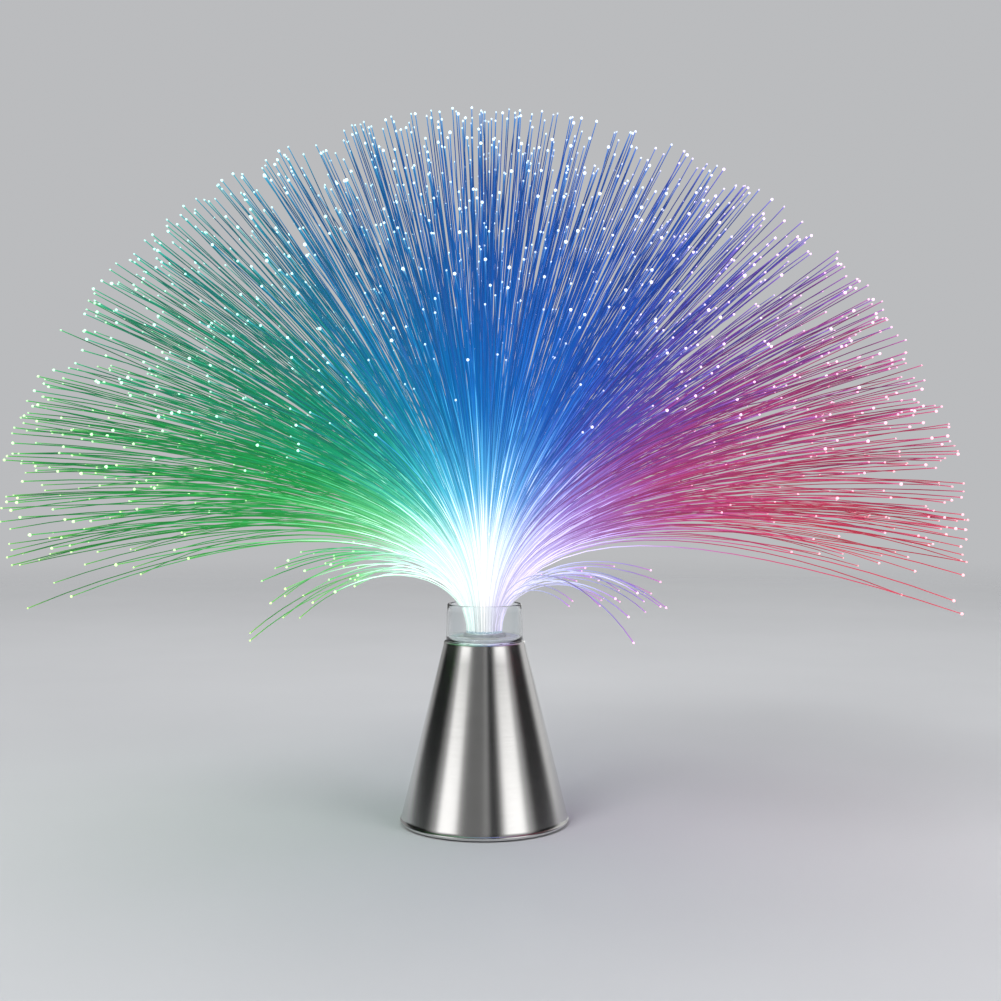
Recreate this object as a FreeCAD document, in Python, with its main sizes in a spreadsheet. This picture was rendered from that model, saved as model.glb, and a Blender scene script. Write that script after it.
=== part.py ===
import FreeCAD, Part
import math
import os
import Sketcher

# Fiber optic lamp, in millimetres. The origin is the middle of the foot, on the table, with +Z up.
# The lamp is seen from the -Y side. A steel cone holds a plastic frame, three small lamps and
# three cells, and a plug with a spray of plastic light fibres lifts out of its neck.

SIZES = {
    # Steel cone
    "base_margin": 5.9,
    "neck_radius": 19.0,
    "shell_height": 86.0,
    "steel": 0.8,
    "hem_lift": 0.6,
    "hem_height": 1.9,
    "hem_width": 1.6,
    "hem_step": 0.6,
    # Ring on the neck, and the clear collar round the ring
    "ring_inset": 2.1,
    "ring_height": 2.2,
    "collar_wall": 1.2,
    "collar_height": 17.5,
    "collar_taper": 0.7,
    # Fibre plug
    "ferrule_radius": 10.0,
    "ferrule_length": 24.0,
    "ferrule_rise": 1.8,
    "ferrule_wall": 1.2,
    "core_glue": 0.1,
    "core_rise": 1.0,
    "core_recess": 0.3,
    "plug_fit": 0.2,
    # Loose fibres
    "strand_width": 0.6,
    "strand_length": 238.0,
    "strand_inset": 0.5,
    "strand_bend_length": 42.0,
    "strand_side_lean": 100.0,
    "strand_front_lean": 60.0,
    "strand_sag": 12.0,
    "drooper_length": 100.0,
    "drooper_right_share": 0.74,
    "drooper_lean": 118.0,
    # Inner frame
    "frame_wall": 2.0,
    "shoulder_inset": 2.4,
    "shoulder_wall": 2.0,
    "ledge_width": 0.4,
    "deck_gap": 3.0,
    "deck_corner": 10.0,
    "deck_thickness": 2.6,
    "gusset_height": 12.0,
    "gusset_width": 1.6,
    "leg_radius": 3.25,
    "leg_gap": 0.2,
    # Board and what is on it
    "board_length": 36.0,
    "board_width": 26.0,
    "board_corner": 4.0,
    "board_thickness": 1.6,
    "clip_gap": 0.1,
    "clip_hook": 0.9,
    "clip_wall": 1.2,
    "clip_width": 5.0,
    "led_side_gap": 0.9,
    "led_gap": 3.4,
    "led_radius": 2.5,
    "led_height": 8.6,
    "lead_width": 0.6,
    "lead_pitch": 2.54,
    "lead_length": 3.4,
    "chip_length": 5.0,
    "chip_width": 4.0,
    "chip_height": 1.5,
    "resistor_length": 3.2,
    "resistor_width": 1.6,
    "resistor_height": 0.7,
    "part_offset": 8.5,
    # Bottom cover
    "floor_lift": 1.6,
    "floor_thickness": 3.2,
    "rim_wall": 2.2,
    "shell_fit": 0.2,
    "boss_radius": 4.6,
    "boss_height": 4.0,
    "bay_wall": 1.5,
    "bay_roof": 1.4,
    "bay_offset": 2.0,
    # Cells and contacts
    "cell_radius": 5.25,
    "cell_length": 44.5,
    "nub_radius": 1.9,
    "nub_length": 1.0,
    "cell_gap": 0.4,
    "cell_clearance": 0.3,
    "contact_sheet": 0.4,
    "contact_width": 6.0,
    "spring_length": 5.5,
    "spring_reach": 4.2,
    "tab_width": 2.6,
    "tab_rise": 2.2,
    # Battery door
    "door_thickness": 1.8,
    "door_gap": 0.3,
    "door_ledge": 1.5,
    "hook_length": 1.5,
    "hook_width": 6.0,
    "hook_thickness": 0.8,
    "hook_spacing": 9.0,
    "tongue_width": 10.0,
    "tongue_length": 9.0,
    "tongue_slot": 0.8,
    "finger_notch": 2.4,
    "finger_depth": 1.4,
    # Slide switch
    "switch_gap": 5.5,
    "switch_width": 5.8,
    "switch_length": 11.0,
    "switch_height": 4.6,
    "switch_plate": 0.5,
    "switch_ear_reach": 8.2,
    "switch_ear_width": 4.6,
    "knob_width": 3.4,
    "knob_length": 4.0,
    "knob_lift": 0.6,
    "knob_height": 5.6,
    "switch_travel": 3.6,
    "terminal_height": 2.6,
    # Screws
    "cover_screw_radius": 1.5,
    "cover_screw_head_radius": 2.8,
    "cover_screw_head": 2.0,
    "cover_screw_bite": 7.0,
    "screw_clearance": 0.1,
    "head_clearance": 0.4,
    # Inner wires
    "wire_radius": 0.6,
    "wire_rise": 4.0,
    "wire_crossing": 4.0,
}


class Size:
    """A length with its number and the sheet formula that it follows."""

    def __init__(self, number, formula):
        self.number = number
        self.formula = formula

    def __add__(self, other):
        other = as_size(other)
        return Size(self.number + other.number, "(%s + %s)" % (self.formula, other.formula))

    def __sub__(self, other):
        other = as_size(other)
        return Size(self.number - other.number, "(%s - %s)" % (self.formula, other.formula))

    def __mul__(self, other):
        other = as_size(other)
        return Size(self.number * other.number, "(%s * %s)" % (self.formula, other.formula))

    def __truediv__(self, other):
        other = as_size(other)
        return Size(self.number / other.number, "(%s / %s)" % (self.formula, other.formula))

    def __neg__(self):
        return Size(-self.number, "(0 - %s)" % self.formula)

    def __radd__(self, other):
        return as_size(other) + self

    def __rsub__(self, other):
        return as_size(other) - self


def as_size(value):
    return value if isinstance(value, Size) else Size(float(value), repr(float(value)))


class Cells:
    """Each driving dimension under its own name."""


doc = FreeCAD.newDocument("FiberLamp")
sheet = doc.addObject("Spreadsheet::Sheet", "Sizes")
at = Cells()
for row, (name, number) in enumerate(SIZES.items(), start=1):
    sheet.set("A%d" % row, name)
    sheet.set("B%d" % row, str(number))
    sheet.setAlias("B%d" % row, name)
    setattr(at, name, Size(number, "Sizes." + name))
doc.recompute()


def root(size):
    return Size(math.sqrt(size.number), "sqrt(%s)" % size.formula)


# Heights and radii that several pieces share. The foot is as wide as the bay of cells needs.

floor_top = at.floor_lift + at.floor_thickness
boss_top = floor_top + at.boss_height
door_top = at.floor_lift + at.door_thickness
cell_height = door_top + at.cell_clearance + at.cell_radius
cell_pitch = at.cell_radius * 2.0 + at.cell_gap
groove_radius = at.cell_radius + at.cell_clearance
bay_length = at.cell_length + at.spring_length + at.contact_sheet * 2.0 + 0.2
bay_half = bay_length / 2.0
bay_width_half = cell_pitch + groove_radius
bay_top = cell_height + groove_radius + at.bay_roof
bay_left = -at.bay_offset - bay_half
bay_right = bay_half - at.bay_offset
bay_end = at.bay_wall - bay_left
bay_side = bay_width_half + at.bay_wall
base_radius = root(bay_end * bay_end + bay_side * bay_side) + at.base_margin
cone_foot = at.hem_height + at.hem_step
cone_foot_radius = base_radius - at.hem_step
cone_slope = (cone_foot_radius - at.neck_radius) / (at.shell_height - cone_foot)
ring_radius = at.neck_radius - at.ring_inset
neck_top = at.shell_height + at.ring_height
plug_top = neck_top + at.ferrule_rise
plug_foot = plug_top - at.ferrule_length
core_radius = at.ferrule_radius - at.ferrule_wall
bundle_radius = core_radius - at.strand_inset
socket_radius = at.ferrule_radius + at.plug_fit
tube_radius = socket_radius + at.frame_wall
neck_hole_radius = tube_radius + at.plug_fit
strand_start = plug_top + at.core_rise
switch_offset = bay_right + at.bay_wall + at.switch_gap
switch_top = floor_top + at.switch_plate + at.switch_height


def shell_inside(height):
    """Inner radius of the cone at a height above its foot."""
    return cone_foot_radius - (height - cone_foot) * cone_slope - at.steel


# Sizes of the frame, which hangs from the neck and follows the cone

deck_height = plug_foot - at.led_height - at.led_gap
deck_top = deck_height + at.deck_thickness
deck_half = shell_inside(deck_top) - at.deck_gap
leg_spacing = shell_inside(deck_top) - at.leg_radius - at.leg_gap
shoulder_radius = at.neck_radius - at.shoulder_inset
chamber_radius = at.ferrule_radius - at.ledge_width
led_pitch = chamber_radius - at.led_radius - at.led_side_gap
board_top = deck_height
board_foot = board_top - at.board_thickness


# Ways of drawing and building, shared by the pieces

def bind(thing, path, size):
    thing.setExpression(path, as_size(size).formula)


def new_body(name):
    body = doc.addObject("PartDesign::Body", name)
    body.Label = name
    body.AllowCompound = True
    return body


def origin_part(body, role):
    return [item for item in body.Origin.OriginFeatures if item.Role == role][0]


def sketch_on(body, role, name, lift=0.0):
    sketch = body.newObject("Sketcher::SketchObject", name)
    sketch.AttachmentSupport = [(origin_part(body, role), "")]
    sketch.MapMode = "FlatFace"
    lift = as_size(lift)
    if lift.number:
        bind(sketch, "AttachmentOffset.Base.z", lift)
    return sketch


def hold(sketch, geometry, point, across, up):
    """Hold one point of a sketch at its two distances from the origin."""
    for kind, size, axis in (("DistanceX", as_size(across), -2), ("DistanceY", as_size(up), -1)):
        if size.number == 0.0:
            sketch.addConstraint(Sketcher.Constraint("PointOnObject", geometry, point, axis))
            continue
        held = Sketcher.Constraint(kind, -1, 1, geometry, point, size.number)
        index = sketch.addConstraint(held)
        bind(sketch, "Constraints[%d]" % index, size)


def outline(sketch, corners):
    """A closed outline of straight lines through its corners."""
    corners = [(as_size(across), as_size(up)) for across, up in corners]
    points = [FreeCAD.Vector(across.number, up.number, 0) for across, up in corners]
    first = sketch.GeometryCount
    count = len(points)
    for i in range(count):
        sketch.addGeometry(Part.LineSegment(points[i], points[(i + 1) % count]), False)
    for i in range(count):
        after = first + (i + 1) % count
        sketch.addConstraint(Sketcher.Constraint("Coincident", first + i, 2, after, 1))
    for i, (across, up) in enumerate(corners):
        hold(sketch, first + i, 1, across, up)


def rectangle(sketch, left, right, low, high):
    outline(sketch, [(left, low), (right, low), (right, high), (left, high)])


def circle(sketch, across, up, radius):
    across, up, radius = as_size(across), as_size(up), as_size(radius)
    middle = FreeCAD.Vector(across.number, up.number, 0)
    index = sketch.GeometryCount
    sketch.addGeometry(Part.Circle(middle, FreeCAD.Vector(0, 0, 1), radius.number), False)
    hold(sketch, index, 3, across, up)
    held = sketch.addConstraint(Sketcher.Constraint("Radius", index, radius.number))
    bind(sketch, "Constraints[%d]" % held, radius)


def feature(body, kind, name, sketch):
    made = body.newObject("PartDesign::" + kind, name)
    made.Profile = sketch
    sketch.Visibility = False
    return made


def pad(body, name, sketch, length, down=False, both_ways=False):
    made = feature(body, "Pad", name, sketch)
    made.Reversed = down
    made.Midplane = both_ways
    bind(made, "Length", length)
    doc.recompute()
    return made


def pocket(body, name, sketch, depth, up=False, both_ways=False):
    before = body.Shape.Volume
    made = feature(body, "Pocket", name, sketch)
    made.Reversed = up
    made.Midplane = both_ways
    bind(made, "Length", depth)
    doc.recompute()
    if body.Shape.Volume >= before:
        raise ValueError(name + " cuts nothing")
    return made


def polar(body, name, features, count):
    made = body.newObject("PartDesign::PolarPattern", name)
    made.Originals = features
    made.Axis = (origin_part(body, "Z_Axis"), [""])
    made.Angle = 360.0
    made.Occurrences = count
    body.Tip = made
    doc.recompute()
    return made


def round_edges(body, name, radius, wanted):
    """Round the edges of the body that the test picks out."""
    picked = []
    for number, edge in enumerate(body.Shape.Edges, start=1):
        if wanted(edge):
            picked.append("Edge%d" % number)
    if not picked:
        raise ValueError(name + " finds no edge")
    base = body.Tip
    made = body.newObject("PartDesign::Fillet", name)
    made.Base = (base, picked)
    bind(made, "Radius", radius)
    doc.recompute()
    return made


def upright_edge(edge):
    """A straight edge along Z."""
    if not isinstance(edge.Curve, Part.Line):
        return False
    return abs(edge.Curve.Direction.z) > 0.999


def prism(name, sides, radius, low, high, across=0.0, along=0.0):
    """An upright prism on a regular polygon."""
    made = doc.addObject("Part::Prism", name)
    made.Polygon = sides
    bind(made, "Circumradius", radius)
    bind(made, "Height", as_size(high) - low)
    bind(made, "Placement.Base.x", across)
    bind(made, "Placement.Base.y", along)
    bind(made, "Placement.Base.z", low)
    return made


def frustum(name, sides, low_radius, high_radius, low, high):
    """A tapered prism of flat sides from one regular polygon to another."""
    rings = []
    for radius, height in ((low_radius, low), (high_radius, high)):
        ring = []
        for k in range(sides):
            angle = k * 2 * math.pi / sides
            spoke = FreeCAD.Vector(math.cos(angle), math.sin(angle), 0) * as_size(radius).number
            ring.append(spoke + FreeCAD.Vector(0, 0, as_size(height).number))
        rings.append(ring)
    foot, head = rings
    faces = [Part.Face(Part.makePolygon(ring + ring[:1])) for ring in rings]
    for k in range(sides):
        after = (k + 1) % sides
        side = [foot[k], foot[after], head[after], head[k], foot[k]]
        faces.append(Part.Face(Part.makePolygon(side)))
    skin = Part.makeShell(faces)
    skin.sewShape()
    made = doc.addObject("Part::Feature", name)
    made.Shape = Part.makeSolid(skin)
    made.Placement = FreeCAD.Placement()
    return made


def cut(name, base, tool):
    made = doc.addObject("Part::Cut", name)
    made.Base = base
    made.Tool = tool
    made.Label = name
    doc.recompute()
    return made


def fuse(name, pieces):
    made = doc.addObject("Part::MultiFuse", name)
    made.Shapes = pieces
    made.Label = name
    doc.recompute()
    return made


# Round pieces are drawn with flat sides. The cone's stay within 0.04 mm of the round one.

ROUND_SIDES = 72
PLUG_SIDES = 48
POST_SIDES = 24
SCREW_SIDES = 12


# The steel cone, its ring and the clear collar


def make_base_shell():
    hem = prism("shell_hem", ROUND_SIDES, base_radius, at.hem_lift, cone_foot)
    cone = frustum("shell_cone", ROUND_SIDES, cone_foot_radius, at.neck_radius,
                   cone_foot, at.shell_height)
    hem_room = prism("hem_room", ROUND_SIDES, base_radius - at.hem_width, at.hem_lift, cone_foot)
    under = at.shell_height - at.steel
    room = frustum("cone_room", ROUND_SIDES, cone_foot_radius - at.steel, shell_inside(under),
                   cone_foot, under)
    hole = prism("neck_hole", ROUND_SIDES, neck_hole_radius, under, at.shell_height)
    solid = fuse("shell_blank", [hem, cone])
    return cut("base_shell", solid, fuse("shell_room", [hem_room, room, hole]))


def make_top_ring():
    ring = prism("ring_blank", ROUND_SIDES, ring_radius, at.shell_height, neck_top)
    bore = prism("ring_bore", ROUND_SIDES, neck_hole_radius, at.shell_height, neck_top)
    return cut("top_ring", ring, bore)


def make_guard_collar():
    inside = ring_radius + at.plug_fit
    outside = inside + at.collar_wall
    rim = at.shell_height + at.collar_height
    wall = frustum("collar_blank", ROUND_SIDES, outside, outside - at.collar_taper,
                   at.shell_height, rim)
    room = frustum("collar_room", ROUND_SIDES, inside, inside - at.collar_taper,
                   at.shell_height, rim)
    return cut("guard_collar", wall, room)


# The fibre plug

def make_ferrule():
    wall = prism("ferrule_blank", PLUG_SIDES, at.ferrule_radius, plug_foot, plug_top)
    bore = prism("ferrule_bore", PLUG_SIDES, core_radius + at.core_glue, plug_foot, plug_top)
    return cut("fiber_ferrule", wall, bore)


def make_core():
    core = prism("fiber_core", PLUG_SIDES, core_radius, plug_foot + at.core_recess, strand_start)
    core.Label = "fiber_core"
    return core


# The loose fibres. They spread from the bonded core in a sunflower layout of opposite pairs, so
# each grows from its own place and leans out in its own upright plane without crossing a neighbour.

STRAND_PAIRS = 104
DROOPER_RANKS = (2, 3, 5, 8, 10, 11, 13, 16)
SUNFLOWER_TURN = math.radians(68.75388)
SPAN_TURN = math.radians(19.0)
CURVE_STEPS = 6
ZONES = [
    ("strands_green", -1.01, -0.56),
    ("strands_teal", -0.56, -0.27),
    ("strands_blue", -0.27, 0.17),
    ("strands_violet", 0.17, 0.42),
    ("strands_magenta", 0.42, 0.72),
    ("strands_red", 0.72, 1.01),
]


def fraction(value):
    return value - math.floor(value)


def strand_curve(start, lean, length, spans):
    """Points of a fibre in its own plane, as distance from the axis and height."""
    radius, height = start, strand_start.number
    bend = at.strand_bend_length.number
    sag = math.radians(at.strand_sag.number) * math.sin(min(lean, math.pi / 2))
    points = [(radius, height)]
    along = 0.0
    for k in range(spans):
        end = length * ((k + 1) / spans) ** 1.5
        step = (end - along) / CURVE_STEPS
        for turn in range(CURVE_STEPS):
            tilt = lean * (1 - math.exp(-(along + step / 2) / bend))
            tilt += sag * ((along + step / 2) / length) ** 2
            radius += math.sin(tilt) * step
            height += math.cos(tilt) * step
            along += step
        points.append((radius, height))
    return points


def strand_solid(direction, start, lean, length):
    """One fibre: a three-sided rod swept along its bends with mitred joints."""
    spans = max(3, math.ceil((lean + math.radians(at.strand_sag.number)) / SPAN_TURN))
    outward = FreeCAD.Vector(math.cos(direction), math.sin(direction), 0)
    sideways = FreeCAD.Vector(-math.sin(direction), math.cos(direction), 0)
    up = FreeCAD.Vector(0, 0, 1)
    curve = strand_curve(start, lean, length, spans)
    path = Part.makePolygon([outward * radius + up * height for radius, height in curve])
    reach = at.strand_width.number / math.sqrt(3)
    foot = path.Vertexes[0].Point
    ring = []
    for k in range(4):
        angle = k * math.radians(120)
        ring.append(foot + outward * (reach * math.cos(angle)) + sideways * (reach * math.sin(angle)))
    return path.makePipeShell([Part.makePolygon(ring)], True, False, 1)


def spray():
    """Each fibre's direction, start radius, lean and length, from the rim of the bundle inwards.
    A few of the outer ones are short and droop, the right ones a little shorter than the left."""
    side = math.radians(at.strand_side_lean.number)
    front = math.radians(at.strand_front_lean.number)
    fibers = []
    for rank in range(STRAND_PAIRS):
        share = 1 - (rank + 0.5) / STRAND_PAIRS
        start = bundle_radius.number * math.sqrt(share)
        direction = rank * SUNFLOWER_TURN
        odds = fraction(rank * 0.7548776662)
        if rank in DROOPER_RANKS:
            lean = math.radians(at.drooper_lean.number) * (0.9 + 0.22 * odds)
            length = at.drooper_length.number * (0.76 + 0.48 * fraction(rank * 0.5698402910))
        else:
            widest = front + (side - front) * abs(math.cos(direction)) ** 1.3
            lean = math.acos(1 - share * (1 - math.cos(widest)))
            length = at.strand_length.number * (1 - 0.42 * odds ** 4)
        for turn in (direction, direction + math.pi):
            own = length
            if rank in DROOPER_RANKS and math.cos(turn) > 0:
                own = length * at.drooper_right_share.number
            fibers.append((turn, start, lean, own))
    return fibers


def make_strands():
    groups = {name: [] for name, low, high in ZONES}
    for direction, start, lean, length in spray():
        place = start / bundle_radius.number * math.cos(direction)
        for name, low, high in ZONES:
            if low <= place < high:
                groups[name].append(strand_solid(direction, start, lean, length))
    made = []
    for name, solids in groups.items():
        node = doc.addObject("Part::Feature", name)
        node.Label = name
        node.Shape = Part.makeCompound(solids)
        node.Placement = FreeCAD.Placement()
        made.append(node)
    return made


# The frame inside the cone

def make_inner_frame():
    shoulder_top = at.shell_height - at.steel
    shoulder_foot = shoulder_top - at.shoulder_wall
    tube = prism("tube_blank", PLUG_SIDES, tube_radius, deck_height, neck_top)
    shoulder = prism("shoulder_blank", PLUG_SIDES, shoulder_radius, shoulder_foot, shoulder_top)
    chamber = prism("chamber_bore", PLUG_SIDES, chamber_radius, deck_height, plug_foot)
    socket = prism("socket_bore", PLUG_SIDES, socket_radius, plug_foot, neck_top)
    solids, bores = [tube, shoulder], [chamber, socket]
    for side in (-1.0, 1.0):
        along = leg_spacing * side
        solids.append(prism("leg", POST_SIDES, at.leg_radius, boss_top, deck_top, 0.0, along))
        bores.append(prism("leg_bore", SCREW_SIDES, at.cover_screw_radius + at.screw_clearance,
                           boss_top, boss_top + at.cover_screw_bite + 1.0, 0.0, along))
    blank = cut("frame_blank", fuse("frame_solid", solids), fuse("frame_bores", bores))
    body = new_body("inner_frame")
    body.BaseFeature = blank
    doc.recompute()

    deck = sketch_on(body, "XY_Plane", "deck_outline", deck_height)
    near, far = at.deck_corner, deck_half
    outline(deck, [(far, -near), (far, near), (near, far), (-near, far),
                   (-far, near), (-far, -near), (-near, -far), (near, -far)])
    circle(deck, 0.0, 0.0, (chamber_radius + tube_radius) / 2.0)
    pad(body, "deck", deck, at.deck_thickness)

    gusset = sketch_on(body, "XZ_Plane", "gusset_outline")
    inner = tube_radius - at.frame_wall * 0.5
    outline(gusset, [
        (inner, deck_top - 0.5),
        (deck_half - 2.0, deck_top - 0.5),
        (deck_half - 2.0, deck_top),
        (tube_radius, deck_top + at.gusset_height),
        (inner, deck_top + at.gusset_height),
    ])
    rib = pad(body, "gusset", gusset, at.gusset_width, both_ways=True)
    polar(body, "gussets", [rib], 4)

    clip = sketch_on(body, "XZ_Plane", "board_clip_outline")
    end = at.board_length / 2.0 + at.clip_gap
    hook_top = board_foot - at.clip_gap
    outline(clip, [
        (end, deck_height + 0.5),
        (end, hook_top),
        (end - at.clip_hook, hook_top),
        (end, hook_top - at.clip_hook),
        (end + at.clip_wall, hook_top - at.clip_hook),
        (end + at.clip_wall, deck_height + 0.5),
    ])
    one = pad(body, "board_clip", clip, at.clip_width, both_ways=True)
    polar(body, "board_clips", [one], 2)
    return body


# The board with its three lamps

def make_board():
    body = new_body("circuit_board")
    board = sketch_on(body, "XY_Plane", "board_outline", board_foot)
    half_length, half_width = at.board_length / 2.0, at.board_width / 2.0
    corner = at.board_corner
    outline(board, [
        (half_length, corner - half_width), (half_length, half_width - corner),
        (half_length - corner, half_width), (corner - half_length, half_width),
        (-half_length, half_width - corner), (-half_length, corner - half_width),
        (corner - half_length, -half_width), (half_length - corner, -half_width),
    ])
    hole = at.lead_width / 2.0 + at.clip_gap
    for place in (-1.0, 0.0, 1.0):
        for side in (-0.5, 0.5):
            middle = led_pitch * place + at.lead_pitch * side
            rectangle(board, middle - hole, middle + hole, -hole, hole)
    pad(body, "board", board, at.board_thickness)
    return body


def make_led(name, place):
    """A flat-topped lamp with its two leads through the board."""
    middle = led_pitch * place
    lens = prism(name + "_lens", 16, at.led_radius, board_top, board_top + at.led_height, middle)
    pieces = [lens]
    for side in (-0.5, 0.5):
        lead = doc.addObject("Part::Box", name + "_lead")
        bind(lead, "Length", at.lead_width)
        bind(lead, "Width", at.lead_width)
        bind(lead, "Height", at.lead_length)
        bind(lead, "Placement.Base.x", middle + at.lead_pitch * side - at.lead_width / 2.0)
        bind(lead, "Placement.Base.y", -at.lead_width / 2.0)
        bind(lead, "Placement.Base.z", board_top - at.lead_length)
        pieces.append(lead)
    return fuse(name, pieces)


def make_chip():
    body = new_body("controller_chip")
    block = sketch_on(body, "XY_Plane", "chip_outline", board_foot)
    half_length, half_width = at.chip_length / 2.0, at.chip_width / 2.0
    middle = -at.part_offset
    rectangle(block, -half_length, half_length, middle - half_width, middle + half_width)
    pad(body, "chip_block", block, at.chip_height, down=True)
    return body


def make_resistors():
    body = new_body("resistors")
    blocks = sketch_on(body, "XY_Plane", "resistor_outlines", board_foot)
    half_length, half_width = at.resistor_length / 2.0, at.resistor_width / 2.0
    for place in (-1.0, 0.0, 1.0):
        middle = led_pitch * place
        low = at.part_offset - half_width
        rectangle(blocks, middle - half_length, middle + half_length, low, low + at.resistor_width)
    pad(body, "resistor_blocks", blocks, at.resistor_height, down=True)
    return body


# The bottom cover, its door and the cells

def make_bottom_cover():
    rim_radius = shell_inside(floor_top) - at.shell_fit
    seat = at.floor_lift + at.cover_screw_head + at.head_clearance
    solids = [prism("cover_disc", ROUND_SIDES, rim_radius, 0.0, floor_top)]
    rooms = [prism("cover_under", ROUND_SIDES, rim_radius - at.rim_wall, 0.0, at.floor_lift)]
    for side in (-1.0, 1.0):
        along = leg_spacing * side
        solids.append(prism("boss", POST_SIDES, at.boss_radius, floor_top, boss_top, 0.0, along))
        rooms.append(prism("head_room", POST_SIDES, at.cover_screw_head_radius + at.head_clearance,
                           at.floor_lift, seat, 0.0, along))
        rooms.append(prism("screw_way", SCREW_SIDES, at.cover_screw_radius + at.screw_clearance,
                           seat, boss_top, 0.0, along))
    blank = cut("cover_blank", fuse("cover_solid", solids), fuse("cover_rooms", rooms))
    body = new_body("bottom_cover")
    body.BaseFeature = blank
    doc.recompute()

    box = sketch_on(body, "XY_Plane", "bay_box", at.floor_lift + at.floor_thickness * 0.5)
    wall = at.bay_wall
    outer = bay_width_half + wall
    rectangle(box, bay_left - wall, bay_right + wall, -outer, outer)
    pad(body, "bay", box, bay_top - at.floor_lift - at.floor_thickness * 0.5)
    corner = as_size(bay_right + wall).number
    far_corner = as_size(bay_left - wall).number

    def bay_corner(edge):
        if not upright_edge(edge):
            return False
        middle = edge.CenterOfMass
        at_end = min(abs(middle.x - corner), abs(middle.x - far_corner)) < 0.01
        return at_end and abs(abs(middle.y) - outer.number) < 0.01

    round_edges(body, "bay_corners", wall * 1.6, bay_corner)

    recess = sketch_on(body, "XY_Plane", "door_recess", at.floor_lift)
    ledge = at.door_ledge
    recess_half = bay_width_half + ledge
    rectangle(recess, bay_left - ledge, bay_right + ledge, -recess_half, recess_half)
    pocket(body, "recess", recess, at.door_thickness, up=True)
    opening = sketch_on(body, "XY_Plane", "bay_opening", at.floor_lift)
    rectangle(opening, bay_left, bay_right, -bay_width_half, bay_width_half)
    pocket(body, "lower_bay", opening, cell_height - at.floor_lift, up=True)
    grooves = sketch_on(body, "YZ_Plane", "cell_grooves", -at.bay_offset)
    for place in (-1.0, 0.0, 1.0):
        circle(grooves, cell_pitch * place, cell_height, groove_radius)
    pocket(body, "cradles", grooves, bay_length, both_ways=True)

    slots = sketch_on(body, "XY_Plane", "contact_slots", cell_height - 0.5)
    slot_half = cell_pitch + at.spring_reach + at.door_gap
    slot_depth = at.contact_sheet * 3.0
    rectangle(slots, bay_left, bay_left + slot_depth, -slot_half, slot_half)
    rectangle(slots, bay_right - slot_depth, bay_right, -slot_half, slot_half)
    pocket(body, "contact_room", slots, at.contact_width / 2.0 + 0.8, up=True)
    tabs = sketch_on(body, "XY_Plane", "tab_slots", cell_height)
    tab_half = at.tab_width / 2.0 + at.cell_clearance
    tab_depth = at.contact_sheet + at.cell_clearance
    rectangle(tabs, bay_left, bay_left + tab_depth,
              -cell_pitch - tab_half, -cell_pitch + tab_half)
    rectangle(tabs, bay_right - tab_depth, bay_right,
              cell_pitch - tab_half, cell_pitch + tab_half)
    pocket(body, "tab_holes", tabs, bay_top - cell_height, up=True)

    hooks = sketch_on(body, "XY_Plane", "hook_slots", door_top - at.hook_thickness - at.door_gap)
    half = at.hook_width / 2.0 + at.door_gap
    reach = at.hook_length + at.door_gap * 2.0
    for side in (-1.0, 1.0):
        middle = at.hook_spacing * side
        rectangle(hooks, bay_left - ledge - reach, bay_left + at.door_gap,
                  middle - half, middle + half)
    pocket(body, "hook_room", hooks, floor_top - door_top + at.hook_thickness + at.door_gap, up=True)

    notch = sketch_on(body, "XY_Plane", "finger_notch", at.floor_lift)
    notch_left = bay_right + ledge - 0.5
    notch_half = at.tongue_width / 2.0
    rectangle(notch, notch_left, notch_left + 0.5 + at.finger_notch, -notch_half, notch_half)
    pocket(body, "finger_room", notch, at.finger_depth, up=True)

    slot = sketch_on(body, "XY_Plane", "switch_slot", at.floor_lift)
    slot_half = at.knob_width / 2.0 + at.door_gap
    slot_reach = (at.knob_length + at.switch_travel) / 2.0 + at.door_gap
    middle = switch_offset
    rectangle(slot, middle - slot_half, middle + slot_half, -slot_reach, slot_reach)
    pocket(body, "switch_way", slot, at.floor_thickness, up=True)
    clip = sketch_on(body, "YZ_Plane", "switch_clip_outline", switch_offset)
    hook_foot = floor_top + at.switch_plate + at.clip_gap
    end = at.switch_ear_reach + at.clip_gap
    for side in (-1.0, 1.0):
        outline(clip, [
            (end * side, floor_top - 0.5),
            (end * side, hook_foot),
            ((end - at.clip_hook) * side, hook_foot),
            (end * side, hook_foot + at.clip_hook),
            ((end + at.clip_wall) * side, hook_foot + at.clip_hook),
            ((end + at.clip_wall) * side, floor_top - 0.5),
        ])
    pad(body, "switch_clips", clip, at.switch_ear_width - 1.0, both_ways=True)
    return body


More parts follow.
